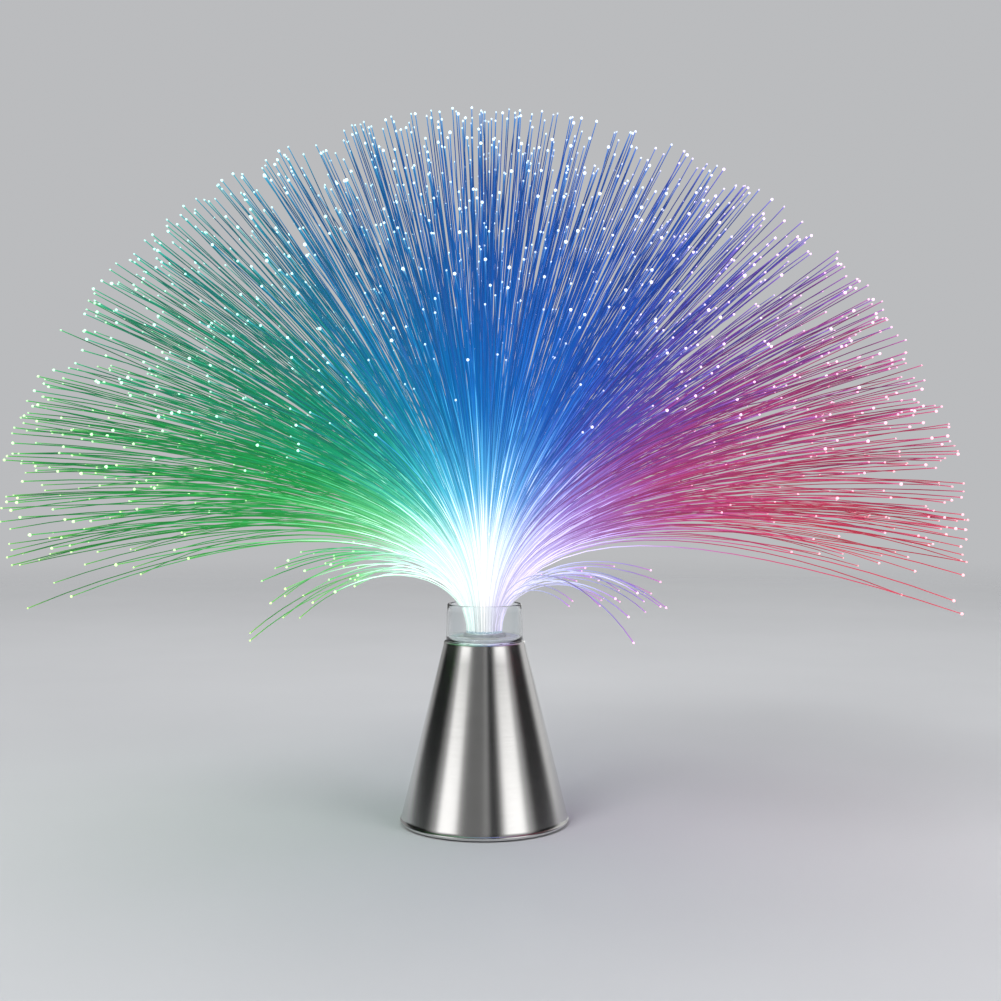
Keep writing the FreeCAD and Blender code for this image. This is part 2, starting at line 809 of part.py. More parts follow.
def make_battery_door():
    body = new_body("battery_door")
    plate = sketch_on(body, "XY_Plane", "door_outline", at.floor_lift)
    inset = at.door_ledge - at.door_gap
    left, right = bay_left - inset, bay_right + inset
    half = bay_width_half + inset
    rectangle(plate, left, right, -half, half)
    pad(body, "door_plate", plate, at.door_thickness)
    hooks = sketch_on(body, "XY_Plane", "door_hooks", door_top)
    for side in (-1.0, 1.0):
        middle = at.hook_spacing * side
        rectangle(hooks, left - at.hook_length, left + 1.0,
                  middle - at.hook_width / 2.0, middle + at.hook_width / 2.0)
    pad(body, "hooks", hooks, at.hook_thickness, down=True)
    cuts = sketch_on(body, "XY_Plane", "tongue_cuts", at.floor_lift)
    for side in (-1.0, 1.0):
        middle = at.tongue_width / 2.0 * side
        rectangle(cuts, right - at.tongue_length, right + 1.0,
                  middle - at.tongue_slot / 2.0, middle + at.tongue_slot / 2.0)
    pocket(body, "tongue_slots", cuts, at.door_thickness, up=True)
    grips = sketch_on(body, "XY_Plane", "grip_grooves", at.floor_lift)
    for place in (1.0, 2.0, 3.0):
        line = right - at.tongue_slot * 2.0 * place
        reach = at.tongue_width / 2.0 - at.tongue_slot
        rectangle(grips, line - at.tongue_slot, line, -reach, reach)
    pocket(body, "grip", grips, at.door_thickness * 0.3, up=True)
    return body


def make_cell(name, place, turned):
    """A cell on its side, with its nub towards -X, or towards +X when turned."""
    can = prism(name + "_can", 24, at.cell_radius, 0.0, at.cell_length - at.nub_length)
    nub = prism(name + "_nub", 12, at.nub_radius, at.cell_length - at.nub_length, at.cell_length)
    made = fuse(name, [can, nub])
    way = 1.0 if turned else -1.0
    made.Placement.Rotation = FreeCAD.Rotation(FreeCAD.Vector(0, 1, 0), 90.0 * way)
    gap = at.contact_sheet + at.clip_gap + at.cell_length
    bind(made, "Placement.Base.x", bay_right - gap if turned else bay_left + gap)
    bind(made, "Placement.Base.y", cell_pitch * place)
    bind(made, "Placement.Base.z", cell_height)
    return made


def leaf(sketch, wall, way, middle, stem):
    """A contact's outline from above: a bowed leaf on a flat strip against the bay's end wall.
    The strip runs from the leaf's own end to stem, way is the side that the cell is on."""
    sheet_edge = wall + at.contact_sheet * way
    crown = wall + (at.contact_sheet + at.spring_length) * way
    low, high = middle - at.spring_reach, middle + at.spring_reach
    thick = at.contact_sheet
    flat = thick * 1.5
    ends = (wall, stem)
    outline(sketch, [
        (ends[0], low),
        (ends[0], ends[1]),
        (sheet_edge, ends[1]),
        (sheet_edge, low + thick * 2.0),
        (crown - thick * way, middle - flat + thick * 0.5),
        (crown - thick * way, middle + flat - thick * 0.5),
        (sheet_edge + thick * way, high - thick),
        (sheet_edge + thick * 2.0 * way, high),
        (crown, middle + flat),
        (crown, middle - flat),
        (sheet_edge, low),
    ])


def make_contact(name, wall, way, leaf_place, strip_end):
    """A sheet contact. A leaf place of None leaves only the flat strip, for a cell's nub."""
    body = new_body(name)
    foot = cell_height - at.contact_width / 2.0
    strip = sketch_on(body, "XY_Plane", name + "_strip", foot)
    if leaf_place is None:
        low, high = strip_end
        side = wall + at.contact_sheet * way
        rectangle(strip, *((wall, side) if way > 0 else (side, wall)), low, high)
    else:
        leaf(strip, wall, way, cell_pitch * leaf_place, strip_end)
    pad(body, name + "_metal", strip, at.contact_width)
    return body


def add_tab(body, name, wall, way, middle):
    """The solder tab that rises through the roof of the bay."""
    tab = sketch_on(body, "XY_Plane", name + "_tab", cell_height)
    side = wall + at.contact_sheet * way
    left, right = (wall, side) if way > 0 else (side, wall)
    rectangle(tab, left, right, middle - at.tab_width / 2.0, middle + at.tab_width / 2.0)
    pad(body, name + "_rise", tab, bay_top - cell_height + at.tab_rise)


def make_contacts():
    reach = at.spring_reach
    pitch = cell_pitch
    positive = make_contact("positive_contact", bay_left, 1.0, None, (-pitch - reach, -pitch + reach))
    add_tab(positive, "positive_contact", bay_left, 1.0, -pitch)
    negative = make_contact("negative_contact", bay_right, -1.0, 1.0, pitch + reach)
    add_tab(negative, "negative_contact", bay_right, -1.0, pitch)
    rear = make_contact("rear_link_contact", bay_left, 1.0, 0.0, pitch + reach)
    front = make_contact("front_link_contact", bay_right, -1.0, -1.0, reach)
    return [positive, negative, rear, front]


# The slide switch

def make_switch_body():
    body = new_body("switch_body")
    plate = sketch_on(body, "XY_Plane", "switch_plate_outline", floor_top)
    half_width, half_length = at.switch_width / 2.0, at.switch_length / 2.0
    middle = switch_offset
    ear = at.switch_ear_reach
    half_ear = at.switch_ear_width / 2.0
    rectangle(plate, middle - half_ear, middle + half_ear, -ear, ear)
    pad(body, "switch_ears", plate, at.switch_plate)
    can = sketch_on(body, "XY_Plane", "switch_can_outline", floor_top)
    rectangle(can, middle - half_width, middle + half_width, -half_length, half_length)
    pad(body, "switch_can", can, at.switch_plate + at.switch_height)
    way = sketch_on(body, "XY_Plane", "knob_way", floor_top)
    reach = (at.knob_length + at.switch_travel) / 2.0 + at.door_gap
    side = at.knob_width / 2.0 + at.door_gap
    rectangle(way, middle - side, middle + side, -reach, reach)
    depth = at.knob_lift + at.knob_height + at.door_gap - floor_top
    pocket(body, "knob_room", way, depth, up=True)
    pins = sketch_on(body, "XY_Plane", "terminal_outlines", switch_top)
    for place in (-1.0, 0.0, 1.0):
        low = at.lead_pitch * place - at.lead_width
        rectangle(pins, middle - at.contact_sheet, middle + at.contact_sheet,
                  low, low + at.lead_width * 2.0)
    pad(body, "terminals", pins, at.terminal_height)
    return body


def make_switch_knob():
    body = new_body("switch_knob")
    block = sketch_on(body, "XY_Plane", "knob_outline", at.knob_lift)
    half_width, half_length = at.knob_width / 2.0, at.knob_length / 2.0
    middle, ahead = switch_offset, at.switch_travel / 2.0
    rectangle(block, middle - half_width, middle + half_width,
              ahead - half_length, ahead + half_length)
    pad(body, "knob_block", block, at.knob_height)
    grips = sketch_on(body, "XY_Plane", "knob_grips", at.knob_lift)
    groove = at.knob_length / 10.0
    for place in (-2.0, 0.0, 2.0):
        low = ahead + groove * place - groove / 2.0
        rectangle(grips, middle - half_width, middle + half_width, low, low + groove)
    pocket(body, "knob_grooves", grips, groove, up=True)
    return body


# Screws, with hexagon heads in the counterbores

def make_cover_screws():
    seat = at.floor_lift + at.cover_screw_head + at.head_clearance
    screws = []
    for number, side in enumerate((-1.0, 1.0), start=1):
        label = "cover_screw_%d" % number
        along = leg_spacing * side
        head = prism(label + "_head", 6, at.cover_screw_head_radius,
                     seat - at.cover_screw_head, seat, 0.0, along)
        shank = prism(label + "_shank", SCREW_SIDES, at.cover_screw_radius,
                      seat, boss_top + at.cover_screw_bite, 0.0, along)
        screws.append(fuse(label, [head, shank]))
    group = doc.addObject("Part::Compound", "cover_screws")
    group.Links = screws
    group.Label = "cover_screws"
    return group


# The inner wires

def bend_path(points):
    """Straight runs joined by tangent arcs, each as large as its two runs allow."""
    edges = []
    start = points[0]
    for before, corner, after in zip(points, points[1:], points[2:]):
        back = before - corner
        ahead = after - corner
        reach = 0.45 * min(back.Length, ahead.Length)
        back.normalize()
        ahead.normalize()
        first, last = corner + back * reach, corner + ahead * reach
        middle_way = back + ahead
        half = back.getAngle(middle_way)
        radius = reach * math.tan(half)
        centre_distance = reach / math.cos(half)
        middle_way.normalize()
        middle = corner + middle_way * (centre_distance - radius)
        edges.append(Part.LineSegment(start, first).toShape())
        edges.append(Part.Arc(first, middle, last).toShape())
        start = last
    edges.append(Part.LineSegment(start, points[-1]).toShape())
    return Part.Wire(edges)


def make_wire(name, route):
    """A square rod along the route, as wide across its corners as the wire."""
    points = [FreeCAD.Vector(*[as_size(size).number for size in point]) for point in route]
    path = bend_path(points)
    way = (points[1] - points[0]).normalize()
    across = way.cross(FreeCAD.Vector(0.3, 0.5, 0.8)).normalize()
    other = way.cross(across)
    ring = []
    for k in range(5):
        angle = k * math.radians(90)
        spoke = across * math.cos(angle) + other * math.sin(angle)
        ring.append(points[0] + spoke * at.wire_radius.number)
    node = doc.addObject("Part::Feature", name)
    node.Label = name
    node.Shape = path.makePipeShell([Part.makePolygon(ring)], True, False)
    node.Placement = FreeCAD.Placement()
    return node


def make_wires():
    tab_top = bay_top + at.tab_rise
    terminal_top = switch_top + at.terminal_height
    run = tab_top + at.wire_rise
    crossing = run + at.wire_crossing
    knee = (crossing + board_foot) / 2.0
    tab_left = bay_left + at.contact_sheet / 2.0
    tab_right = bay_right - at.contact_sheet / 2.0
    terminal = switch_offset
    pitch = cell_pitch
    battery = make_wire("battery_lead", [
        (tab_left, -pitch, tab_top),
        (tab_left, -pitch, run),
        (at.bay_offset, -pitch * 0.6, run),
        (terminal, -at.lead_pitch, run),
        (terminal, -at.lead_pitch, terminal_top),
    ])
    back = make_wire("return_lead", [
        (tab_right, pitch, tab_top),
        (tab_right, pitch, crossing),
        (at.part_offset + 5.0, at.part_offset, knee),
        (at.part_offset + 5.0, at.part_offset, board_foot),
    ])
    switch = make_wire("switch_lead", [
        (terminal, 0.0, terminal_top),
        (terminal, 0.0, crossing),
        (at.part_offset + 5.0, -at.part_offset, knee),
        (at.part_offset + 5.0, -at.part_offset, board_foot),
    ])
    return [battery, back, switch]


# Build every piece, check it and write it

sub_parts = [
    make_base_shell(),
    make_top_ring(),
    make_guard_collar(),
    make_ferrule(),
    make_core(),
    make_inner_frame(),
    make_board(),
    make_led("green_led", -1.0),
    make_led("blue_led", 0.0),
    make_led("red_led", 1.0),
    make_chip(),
    make_resistors(),
    make_bottom_cover(),
    make_battery_door(),
    make_cell("battery_1", -1.0, False),
    make_cell("battery_2", 0.0, True),
    make_cell("battery_3", 1.0, False),
    make_switch_body(),
    make_switch_knob(),
    make_cover_screws(),
]
sub_parts += make_contacts()
sub_parts += make_wires()
sub_parts += make_strands()
doc.recompute()

for item in doc.Objects:
    if "Invalid" in item.State or "Error" in item.State:
        raise ValueError(item.Label + " failed to build")
for sub_part in sub_parts:
    if sub_part.Shape.isNull() or not sub_part.Shape.isValid():
        raise ValueError(sub_part.Label + " has no valid shape")

os.makedirs("parts", exist_ok=True)
for sub_part in sub_parts:
    sub_part.Shape.exportStep("parts/" + sub_part.Label + ".step")
print(len(sub_parts), "sub-parts,", sum(len(item.Shape.Solids) for item in sub_parts), "solids")
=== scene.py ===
import math

import bmesh
import bpy
import numpy as np
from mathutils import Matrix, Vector


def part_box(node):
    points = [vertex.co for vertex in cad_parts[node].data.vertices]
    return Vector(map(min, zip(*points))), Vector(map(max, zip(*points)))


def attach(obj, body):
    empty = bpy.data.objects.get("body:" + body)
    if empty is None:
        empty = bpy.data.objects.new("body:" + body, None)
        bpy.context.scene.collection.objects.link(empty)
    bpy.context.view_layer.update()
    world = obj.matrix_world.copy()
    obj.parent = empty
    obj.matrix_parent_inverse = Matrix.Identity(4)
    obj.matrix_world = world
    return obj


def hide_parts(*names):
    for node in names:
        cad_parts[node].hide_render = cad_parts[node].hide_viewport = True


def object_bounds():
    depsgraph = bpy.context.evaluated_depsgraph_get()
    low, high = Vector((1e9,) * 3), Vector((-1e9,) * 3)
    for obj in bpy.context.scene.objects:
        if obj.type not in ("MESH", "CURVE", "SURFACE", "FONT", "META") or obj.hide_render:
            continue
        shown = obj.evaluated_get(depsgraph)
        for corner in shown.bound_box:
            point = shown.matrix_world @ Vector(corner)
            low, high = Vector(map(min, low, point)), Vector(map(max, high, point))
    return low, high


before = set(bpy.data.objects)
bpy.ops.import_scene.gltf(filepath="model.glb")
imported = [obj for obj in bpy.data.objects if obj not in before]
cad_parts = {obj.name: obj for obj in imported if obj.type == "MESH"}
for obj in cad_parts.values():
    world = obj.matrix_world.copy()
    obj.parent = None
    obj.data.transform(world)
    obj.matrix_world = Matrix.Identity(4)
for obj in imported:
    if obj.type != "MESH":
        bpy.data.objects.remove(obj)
cad_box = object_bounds()

# Heights and radii of the lamp, in metres, read from the frame where a node gives them
SHELL_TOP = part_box("base_shell")[1].z
SHELL_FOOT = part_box("base_shell")[0].z
FOOT_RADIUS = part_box("base_shell")[1].x
NECK_RADIUS = 0.019
NECK_HOLE = 0.0124
RING_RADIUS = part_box("top_ring")[1].x
RING_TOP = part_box("top_ring")[1].z
COLLAR_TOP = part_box("guard_collar")[1].z
COLLAR_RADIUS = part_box("guard_collar")[1].x
PLUG_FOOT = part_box("fiber_ferrule")[0].z
PLUG_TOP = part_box("fiber_ferrule")[1].z
FERRULE_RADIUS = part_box("fiber_ferrule")[1].x
CORE_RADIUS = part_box("fiber_core")[1].x
CORE_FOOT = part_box("fiber_core")[0].z
CORE_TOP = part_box("fiber_core")[1].z


# Camera: 650 mm in front of the lamp's axis, a little right of it, at mid height

CAMERA_PLACE = (0.0076, -0.65, 0.162)
CAMERA_DIP = 0.855

camera_data = bpy.data.cameras.new("camera")
camera_data.sensor_width = 36.0
camera_data.lens = 49.38
camera_data.clip_start = 0.01
camera = bpy.data.objects.new("camera", camera_data)
camera.location = CAMERA_PLACE
camera.rotation_euler = (math.radians(90.0 - CAMERA_DIP), 0.0, 0.0)
bpy.context.scene.collection.objects.link(camera)
bpy.context.scene.camera = camera
bpy.context.scene.view_settings.view_transform = "Standard"


# Colours are written as they look on a screen and changed to linear light here

def linear(*screen):
    return tuple((v / 12.92) if v <= 0.04045 else ((v + 0.055) / 1.055) ** 2.4 for v in screen)


def rgb(hex_text):
    return linear(*[int(hex_text[i:i + 2], 16) / 255.0 for i in (0, 2, 4)])


# Materials

class Tree:
    """A material's node tree, with short ways of adding and joining nodes."""

    def __init__(self, name):
        self.material = bpy.data.materials.new(name)
        self.material.use_nodes = True
        self.tree = self.material.node_tree
        self.tree.nodes.clear()
        self.out = self.tree.nodes.new("ShaderNodeOutputMaterial")

    def add(self, kind, **settings):
        node = self.tree.nodes.new("ShaderNode" + kind)
        for name, value in settings.items():
            setattr(node, name, value)
        return node

    def join(self, start, end):
        self.tree.links.new(start, end)

    def principled(self, **sockets):
        node = self.add("BsdfPrincipled")
        for name, value in sockets.items():
            node.inputs[name.replace("_", " ")].default_value = value
        self.join(node.outputs[0], self.out.inputs["Surface"])
        return node

    def place(self, scale=(1.0, 1.0, 1.0)):
        """Object coordinates in metres, stretched by a scale along each axis."""
        source = self.add("TexCoord")
        mapping = self.add("Mapping")
        mapping.inputs["Scale"].default_value = scale
        self.join(source.outputs["Object"], mapping.inputs["Vector"])
        return mapping.outputs["Vector"]

    def noise(self, vector, scale, detail=4.0, roughness=0.6):
        node = self.add("TexNoise")
        node.inputs["Scale"].default_value = scale
        node.inputs["Detail"].default_value = detail
        node.inputs["Roughness"].default_value = roughness
        self.join(vector, node.inputs["Vector"])
        return node.outputs["Fac"]

    def ramp(self, value, stops, smooth=False):
        node = self.add("ValToRGB")
        elements = node.color_ramp.elements
        if smooth:
            node.color_ramp.interpolation = "EASE"
        for _ in range(len(stops) - 2):
            elements.new(0.5)
        for element, (position, color) in zip(elements, stops):
            element.position = position
            if not isinstance(color, tuple):
                color = (color, color, color)
            element.color = (*color, 1.0)
        self.join(value, node.inputs["Fac"])
        return node.outputs["Color"]

    def put(self, socket, value):
        if isinstance(value, bpy.types.NodeSocket):
            self.join(value, socket)
        elif isinstance(value, tuple) and len(value) == 3 and socket.type == "RGBA":
            socket.default_value = (*value, 1.0)
        else:
            socket.default_value = value

    def math(self, operation, first, second=0.0):
        node = self.add("Math", operation=operation)
        self.put(node.inputs[0], first)
        self.put(node.inputs[1], second)
        return node.outputs[0]

    def bump(self, height, strength, distance, shader):
        node = self.add("Bump")
        node.inputs["Strength"].default_value = strength
        node.inputs["Distance"].default_value = distance
        self.join(height, node.inputs["Height"])
        self.join(node.outputs["Normal"], shader.inputs["Normal"])

    def attribute(self, name):
        node = self.add("Attribute", attribute_name=name)
        return node.outputs["Fac"]


def color_mix(tree, amount, first, second, blend="MIX"):
    node = tree.add("Mix", data_type="RGBA", blend_type=blend)
    low, high = [s for s in node.inputs if s.type == "RGBA"][:2]
    tree.put(node.inputs[0], amount)
    tree.put(low, first)
    tree.put(high, second)
    return [s for s in node.outputs if s.type == "RGBA"][0]


def plastic(name, color, rough=0.45, grain=900.0, grain_depth=0.00004, wear=0.08):
    """Moulded plastic: fine spark grain, slight cloudiness and a little dust, in patches scattered at
    random.
    """
    t = Tree(name)
    shader = t.principled(Roughness=rough)
    where = t.place()
    clouds = t.noise(where, 60.0, 5.0)
    fine = t.noise(where, grain, 3.0)
    pale = tuple(min(1.0, c * (1.0 + wear * 3.0) + wear * 0.02) for c in color)
    dark = tuple(c * (1.0 - wear) for c in color)
    t.put(shader.inputs["Base Color"], t.ramp(clouds, [(0.3, dark), (0.5, color), (0.75, pale)]))
    t.put(shader.inputs["Roughness"],
          t.ramp(fine, [(0.3, rough * 0.85), (0.7, min(1.0, rough * 1.15))]))
    t.bump(fine, 0.35, grain_depth, shader)
    return t.material


def metal(name, color, rough=0.3, scratch=(1.0, 1.0, 40.0), depth=0.00002):
    """Plain metal with fine drawn lines."""
    t = Tree(name)
    shader = t.principled(Metallic=1.0, Roughness=rough)
    lines = t.noise(t.place(scratch), 300.0, 4.0)
    spots = t.noise(t.place(), 120.0, 5.0)
    dark = tuple(c * 0.82 for c in color)
    t.put(shader.inputs["Base Color"], t.ramp(spots, [(0.35, dark), (0.6, color)]))
    t.put(shader.inputs["Roughness"],
          t.ramp(lines, [(0.3, rough * 0.8), (0.7, min(1.0, rough * 1.3))]))
    t.bump(lines, 0.3, depth, shader)
    return t.material


def spun_steel():
    """Satin steel spun on a lathe: hair lines run round the cone, so its highlights stand upright."""
    t = Tree("steel_cone")
    shader = t.principled(Metallic=1.0, Anisotropic=0.3, Anisotropic_Rotation=0.25)
    tangent = t.add("Tangent", direction_type="RADIAL", axis="Z")
    t.join(tangent.outputs[0], shader.inputs["Tangent"])
    lines = t.noise(t.place((60.0, 60.0, 6500.0)), 1.0, 6.0, 0.75)
    clouds = t.noise(t.place(), 28.0, 4.0)
    tone = t.ramp(lines, [(0.25, rgb("cecccb")), (0.5, rgb("d9d8d6")), (0.8, rgb("e3e2e1"))])
    shade = t.ramp(clouds, [(0.3, 0.93), (0.7, 1.0)])
    t.put(shader.inputs["Base Color"], color_mix(t, 1.0, tone, shade, "MULTIPLY"))
    t.put(shader.inputs["Roughness"], t.ramp(lines, [(0.3, 0.2), (0.7, 0.23)]))
    t.bump(lines, 0.1, 0.000003, shader)
    return t.material


def clear_plastic():
    """Clear moulded collar with a faint cool tint and soft flow marks."""
    t = Tree("clear_collar")
    shader = t.principled(Roughness=0.03, IOR=1.38)
    shader.inputs["Transmission Weight"].default_value = 1.0
    flow = t.noise(t.place((1.0, 1.0, 0.25)), 90.0, 3.0)
    t.put(shader.inputs["Base Color"], t.ramp(flow, [(0.3, rgb("f6fafb")), (0.7, rgb("fdfefe"))]))
    t.put(shader.inputs["Roughness"], t.ramp(flow, [(0.3, 0.0), (0.7, 0.05)]))
    t.bump(flow, 0.2, 0.0002, shader)
    return t.material


# Colour of the fibres' light by their direction, from low on the left (0) through straight up (0.5)
# to low on the right (1). Each row is for one distance from the plug, as a share of a full fibre.

DIRECTIONS = (0.0, 0.2, 0.31, 0.39, 0.5, 0.59, 0.65, 0.71, 0.78, 0.9)
LIGHT_ROWS = [
    (0.03, "eafff6 f0fffc f4ffff f8ffff ffffff f8f9ff f2f2ff eeecff ece6ff eae2ff"),
    (0.16, "dcfff0 d2fff2 d0fdfc dcfcff f2ffff e4f4ff d4e4ff ccd6ff ccc8fc ccc0f6"),
    (0.29, "8ade6c 62d696 46cdc0 4cc4e8 60c2f4 66b4f2 709eea 8a8ade a878cc b472bc"),
    (0.45, "3ead3e 1ba552 0e9a86 1089b8 1478cc 1b6ccc 2c5cc6 6a4eb4 aa4088 c23c6c"),
    (0.68, "369d34 129a4c 0a8a78 0b74ac 0f60bc 175abc 2e4fb6 6c42a6 b03876 ca304e"),
    (1.0, "36902e 11864a 0a7c74 0b679e 0e52aa 144ca8 2945a4 5d3a98 9a2f62 b62c44"),
]
END_LIGHT = "96e63c 5ee070 46dcc4 52c8f4 66b6ff 78a8ff 8c94ff b67cf6 f070b4 fa6c80"
TIP_GLOW = "dcff96 bcffb4 b8fff0 c4f4ff d2ecff d2deff e0d2ff fac8f6 ffb8d0 ffb0b8"


def by_direction(tree, colors):
    stops = [(place, rgb(color)) for place, color in zip(DIRECTIONS, colors.split())]
    return tree.ramp(tree.attribute("across"), stops)


def fiber_light(name):
    """A plastic fibre: white beside the plug, then coloured, darker outwards, lit again at its tip."""
    t = Tree(name)
    shader = t.principled(Roughness=0.2, IOR=1.49)
    shade = t.attribute("shade")
    reach = t.math("SUBTRACT", t.attribute("along"),
                   t.ramp(shade, [(0.0, 0.0), (0.25, 0.02), (0.8, 0.05), (1.0, 0.16)]))
    light = by_direction(t, LIGHT_ROWS[0][1])
    for (before, _), (after, colors) in zip(LIGHT_ROWS, LIGHT_ROWS[1:]):
        weight = t.ramp(reach, [(before, 0.0), (after, 1.0)])
        light = color_mix(t, weight, light, by_direction(t, colors))
    streak = t.ramp(shade, [(0.0, 0.62), (0.45, 0.85), (0.85, 1.0), (1.0, 1.25)])
    light = color_mix(t, 1.0, light, streak, "MULTIPLY")
    end = t.ramp(t.attribute("end"), [(0.0, 0.95), (0.3, 0.5), (1.0, 0.0)])
    light = color_mix(t, end, light, by_direction(t, END_LIGHT))
    t.put(shader.inputs["Base Color"], color_mix(t, 0.6, light, (0.0, 0.0, 0.0)))
    t.put(shader.inputs["Emission Color"], light)
    t.put(shader.inputs["Emission Strength"],
          t.ramp(reach, [(0.0, 0.75), (0.05, 1.0), (0.16, 1.0), (0.3, 0.8), (1.0, 0.62)]))
    return t.material


def tip_light(name):
    """The polished end of a fibre, where its light comes out."""
    t = Tree(name)
    shader = t.principled(Roughness=0.15, IOR=1.49)
    glow = by_direction(t, TIP_GLOW)
    t.put(shader.inputs["Base Color"], glow)
    t.put(shader.inputs["Emission Color"], glow)
    t.put(shader.inputs["Emission Strength"],
          t.ramp(t.attribute("shade"), [(0.0, 0.6), (0.6, 1.0), (1.0, 1.4)]))
    return t.material


# Ways of making meshes

def object_from(name, verts, faces, materials, indices=None):
    mesh = bpy.data.meshes.new(name)
    mesh.from_pydata([tuple(v) for v in verts], [], faces)
    if indices is not None:
        mesh.polygons.foreach_set("material_index", indices)
    for material in materials:
        mesh.materials.append(material)
    mesh.polygons.foreach_set("use_smooth", [True] * len(mesh.polygons))
    mesh.validate()
    mesh.update()
    made = bpy.data.objects.new(name, mesh)
    bpy.context.scene.collection.objects.link(made)
    return made


def lathe(name, profile, material, sides=192, closed=True):
    """A round piece from its profile of (radius, height) points; a radius of zero makes a pole."""
    verts, rings = [], []
    for radius, height in profile:
        if radius <= 0.0:
            rings.append([len(verts)])
            verts.append((0.0, 0.0, height))
            continue
        ring = []
        for k in range(sides):
            angle = 2 * math.pi * k / sides
            ring.append(len(verts))
            verts.append((radius * math.cos(angle), radius * math.sin(angle), height))
        rings.append(ring)
    faces = []
    pairs = list(zip(rings, rings[1:] + rings[:1])) if closed else list(zip(rings, rings[1:]))
    for low, high in pairs:
        if len(low) == 1 and len(high) == 1:
            continue
        for k in range(sides):
            after = (k + 1) % sides
            if len(low) == 1:
                faces.append((low[0], high[after], high[k]))
            elif len(high) == 1:
                faces.append((low[k], low[after], high[0]))
            else:
                faces.append((low[k], low[after], high[after], high[k]))
    made = object_from(name, verts, faces, [material])
    fix_normals(made)
    return made


def fix_normals(made):
    work = bmesh.new()
    work.from_mesh(made.data)
    bmesh.ops.recalc_face_normals(work, faces=work.faces)
    work.to_mesh(made.data)
    work.free()


def arc(centre, radius, start, end, steps):
    """Points of a rounded corner in a profile, angles in degrees."""
    points = []
    for k in range(steps + 1):
        angle = math.radians(start + (end - start) * k / steps)
        points.append((centre[0] + radius * math.cos(angle), centre[1] + radius * math.sin(angle)))
    return points


def sharp_edges(made, degrees=35.0):
    """Keeps hard corners hard where the rest of the piece is shaded smooth."""
    work = bmesh.new()
    work.from_mesh(made.data)
    for edge in work.edges:
        if len(edge.link_faces) == 2:
            edge.smooth = edge.calc_face_angle(0.0) < math.radians(degrees)
    work.to_mesh(made.data)
    work.free()


def softened(node, name, material, width):
    """A copy of a CAD node with its moulded edges rounded."""
    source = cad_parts[node]
    mesh = source.data.copy()
    mesh.name = name
    made = bpy.data.objects.new(name, mesh)
    bpy.context.scene.collection.objects.link(made)
    work = bmesh.new()
    work.from_mesh(mesh)
    bmesh.ops.remove_doubles(work, verts=work.verts, dist=1e-6)
    bmesh.ops.dissolve_limit(work, angle_limit=math.radians(1.0), verts=work.verts, edges=work.edges)
    bmesh.ops.recalc_face_normals(work, faces=work.faces)
    for face in work.faces:
        face.smooth = True
    work.to_mesh(mesh)
    work.free()
    mesh.materials.clear()
    mesh.materials.append(material)
    bevel = made.modifiers.new("round", "BEVEL")
    bevel.width = width
    bevel.segments = 2
    bevel.limit_method = "ANGLE"
    bevel.angle_limit = math.radians(30.0)
    bevel.use_clamp_overlap = True
    bevel.harden_normals = True
    settle(made)
    return made


def settle(made):
    """Applies a piece's modifiers."""
    graph = bpy.context.evaluated_depsgraph_get()
    mesh = bpy.data.meshes.new_from_object(made.evaluated_get(graph))
    made.modifiers.clear()
    made.data = mesh


# The steel cone: a rolled hem at the foot, a thin wall, and a rounded turn in at the neck

STEEL = 0.0008
HEM_HEIGHT = 0.0019
HEM_STEP = 0.0006
HEM_WIDTH = 0.0016
HEM_ROUND = 0.0008
NECK_BEND = 0.0011
cone_foot = HEM_HEIGHT + HEM_STEP
slope = (FOOT_RADIUS - HEM_STEP - NECK_RADIUS) / (SHELL_TOP - cone_foot)
lean = math.degrees(math.atan(slope))


def cone_radius(height):
    return FOOT_RADIUS - HEM_STEP - (height - cone_foot) * slope


outside = [(FOOT_RADIUS - HEM_WIDTH, SHELL_FOOT)]
outside += arc((FOOT_RADIUS - HEM_ROUND, SHELL_FOOT + HEM_ROUND), HEM_ROUND, -90, 0, 6)
outside += arc((FOOT_RADIUS - HEM_ROUND, cone_foot - HEM_ROUND), HEM_ROUND, 0, 60, 5)
outside += [(cone_radius(cone_foot + 0.0003), cone_foot + 0.0003)]
outside += [(cone_radius(z), z) for z in np.linspace(cone_foot + 0.0012, SHELL_TOP - 0.0016, 12)]
bend_z = SHELL_TOP - NECK_BEND
bend_r = cone_radius(bend_z) - NECK_BEND / math.cos(math.radians(lean)) + 0.00012
outside += arc((bend_r, bend_z), NECK_BEND, lean, 90, 8)
outside += [(NECK_HOLE + 0.0003, SHELL_TOP), (NECK_HOLE, SHELL_TOP - 0.0003),
            (NECK_HOLE, SHELL_TOP - STEEL)]
inside = [(cone_radius(SHELL_TOP - STEEL) - STEEL - 0.0006, SHELL_TOP - STEEL)]
inside += [(cone_radius(z) - STEEL, z) for z in np.linspace(SHELL_TOP - STEEL - 0.001, cone_foot, 6)]
inside += [(FOOT_RADIUS - HEM_WIDTH, cone_foot - 0.0002)]
cone = lathe("steel_cone", outside + inside, spun_steel(), 256)
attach(cone, "base")
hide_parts("base_shell")

# The ring on the neck, with a small bevel and a shallow groove in its top

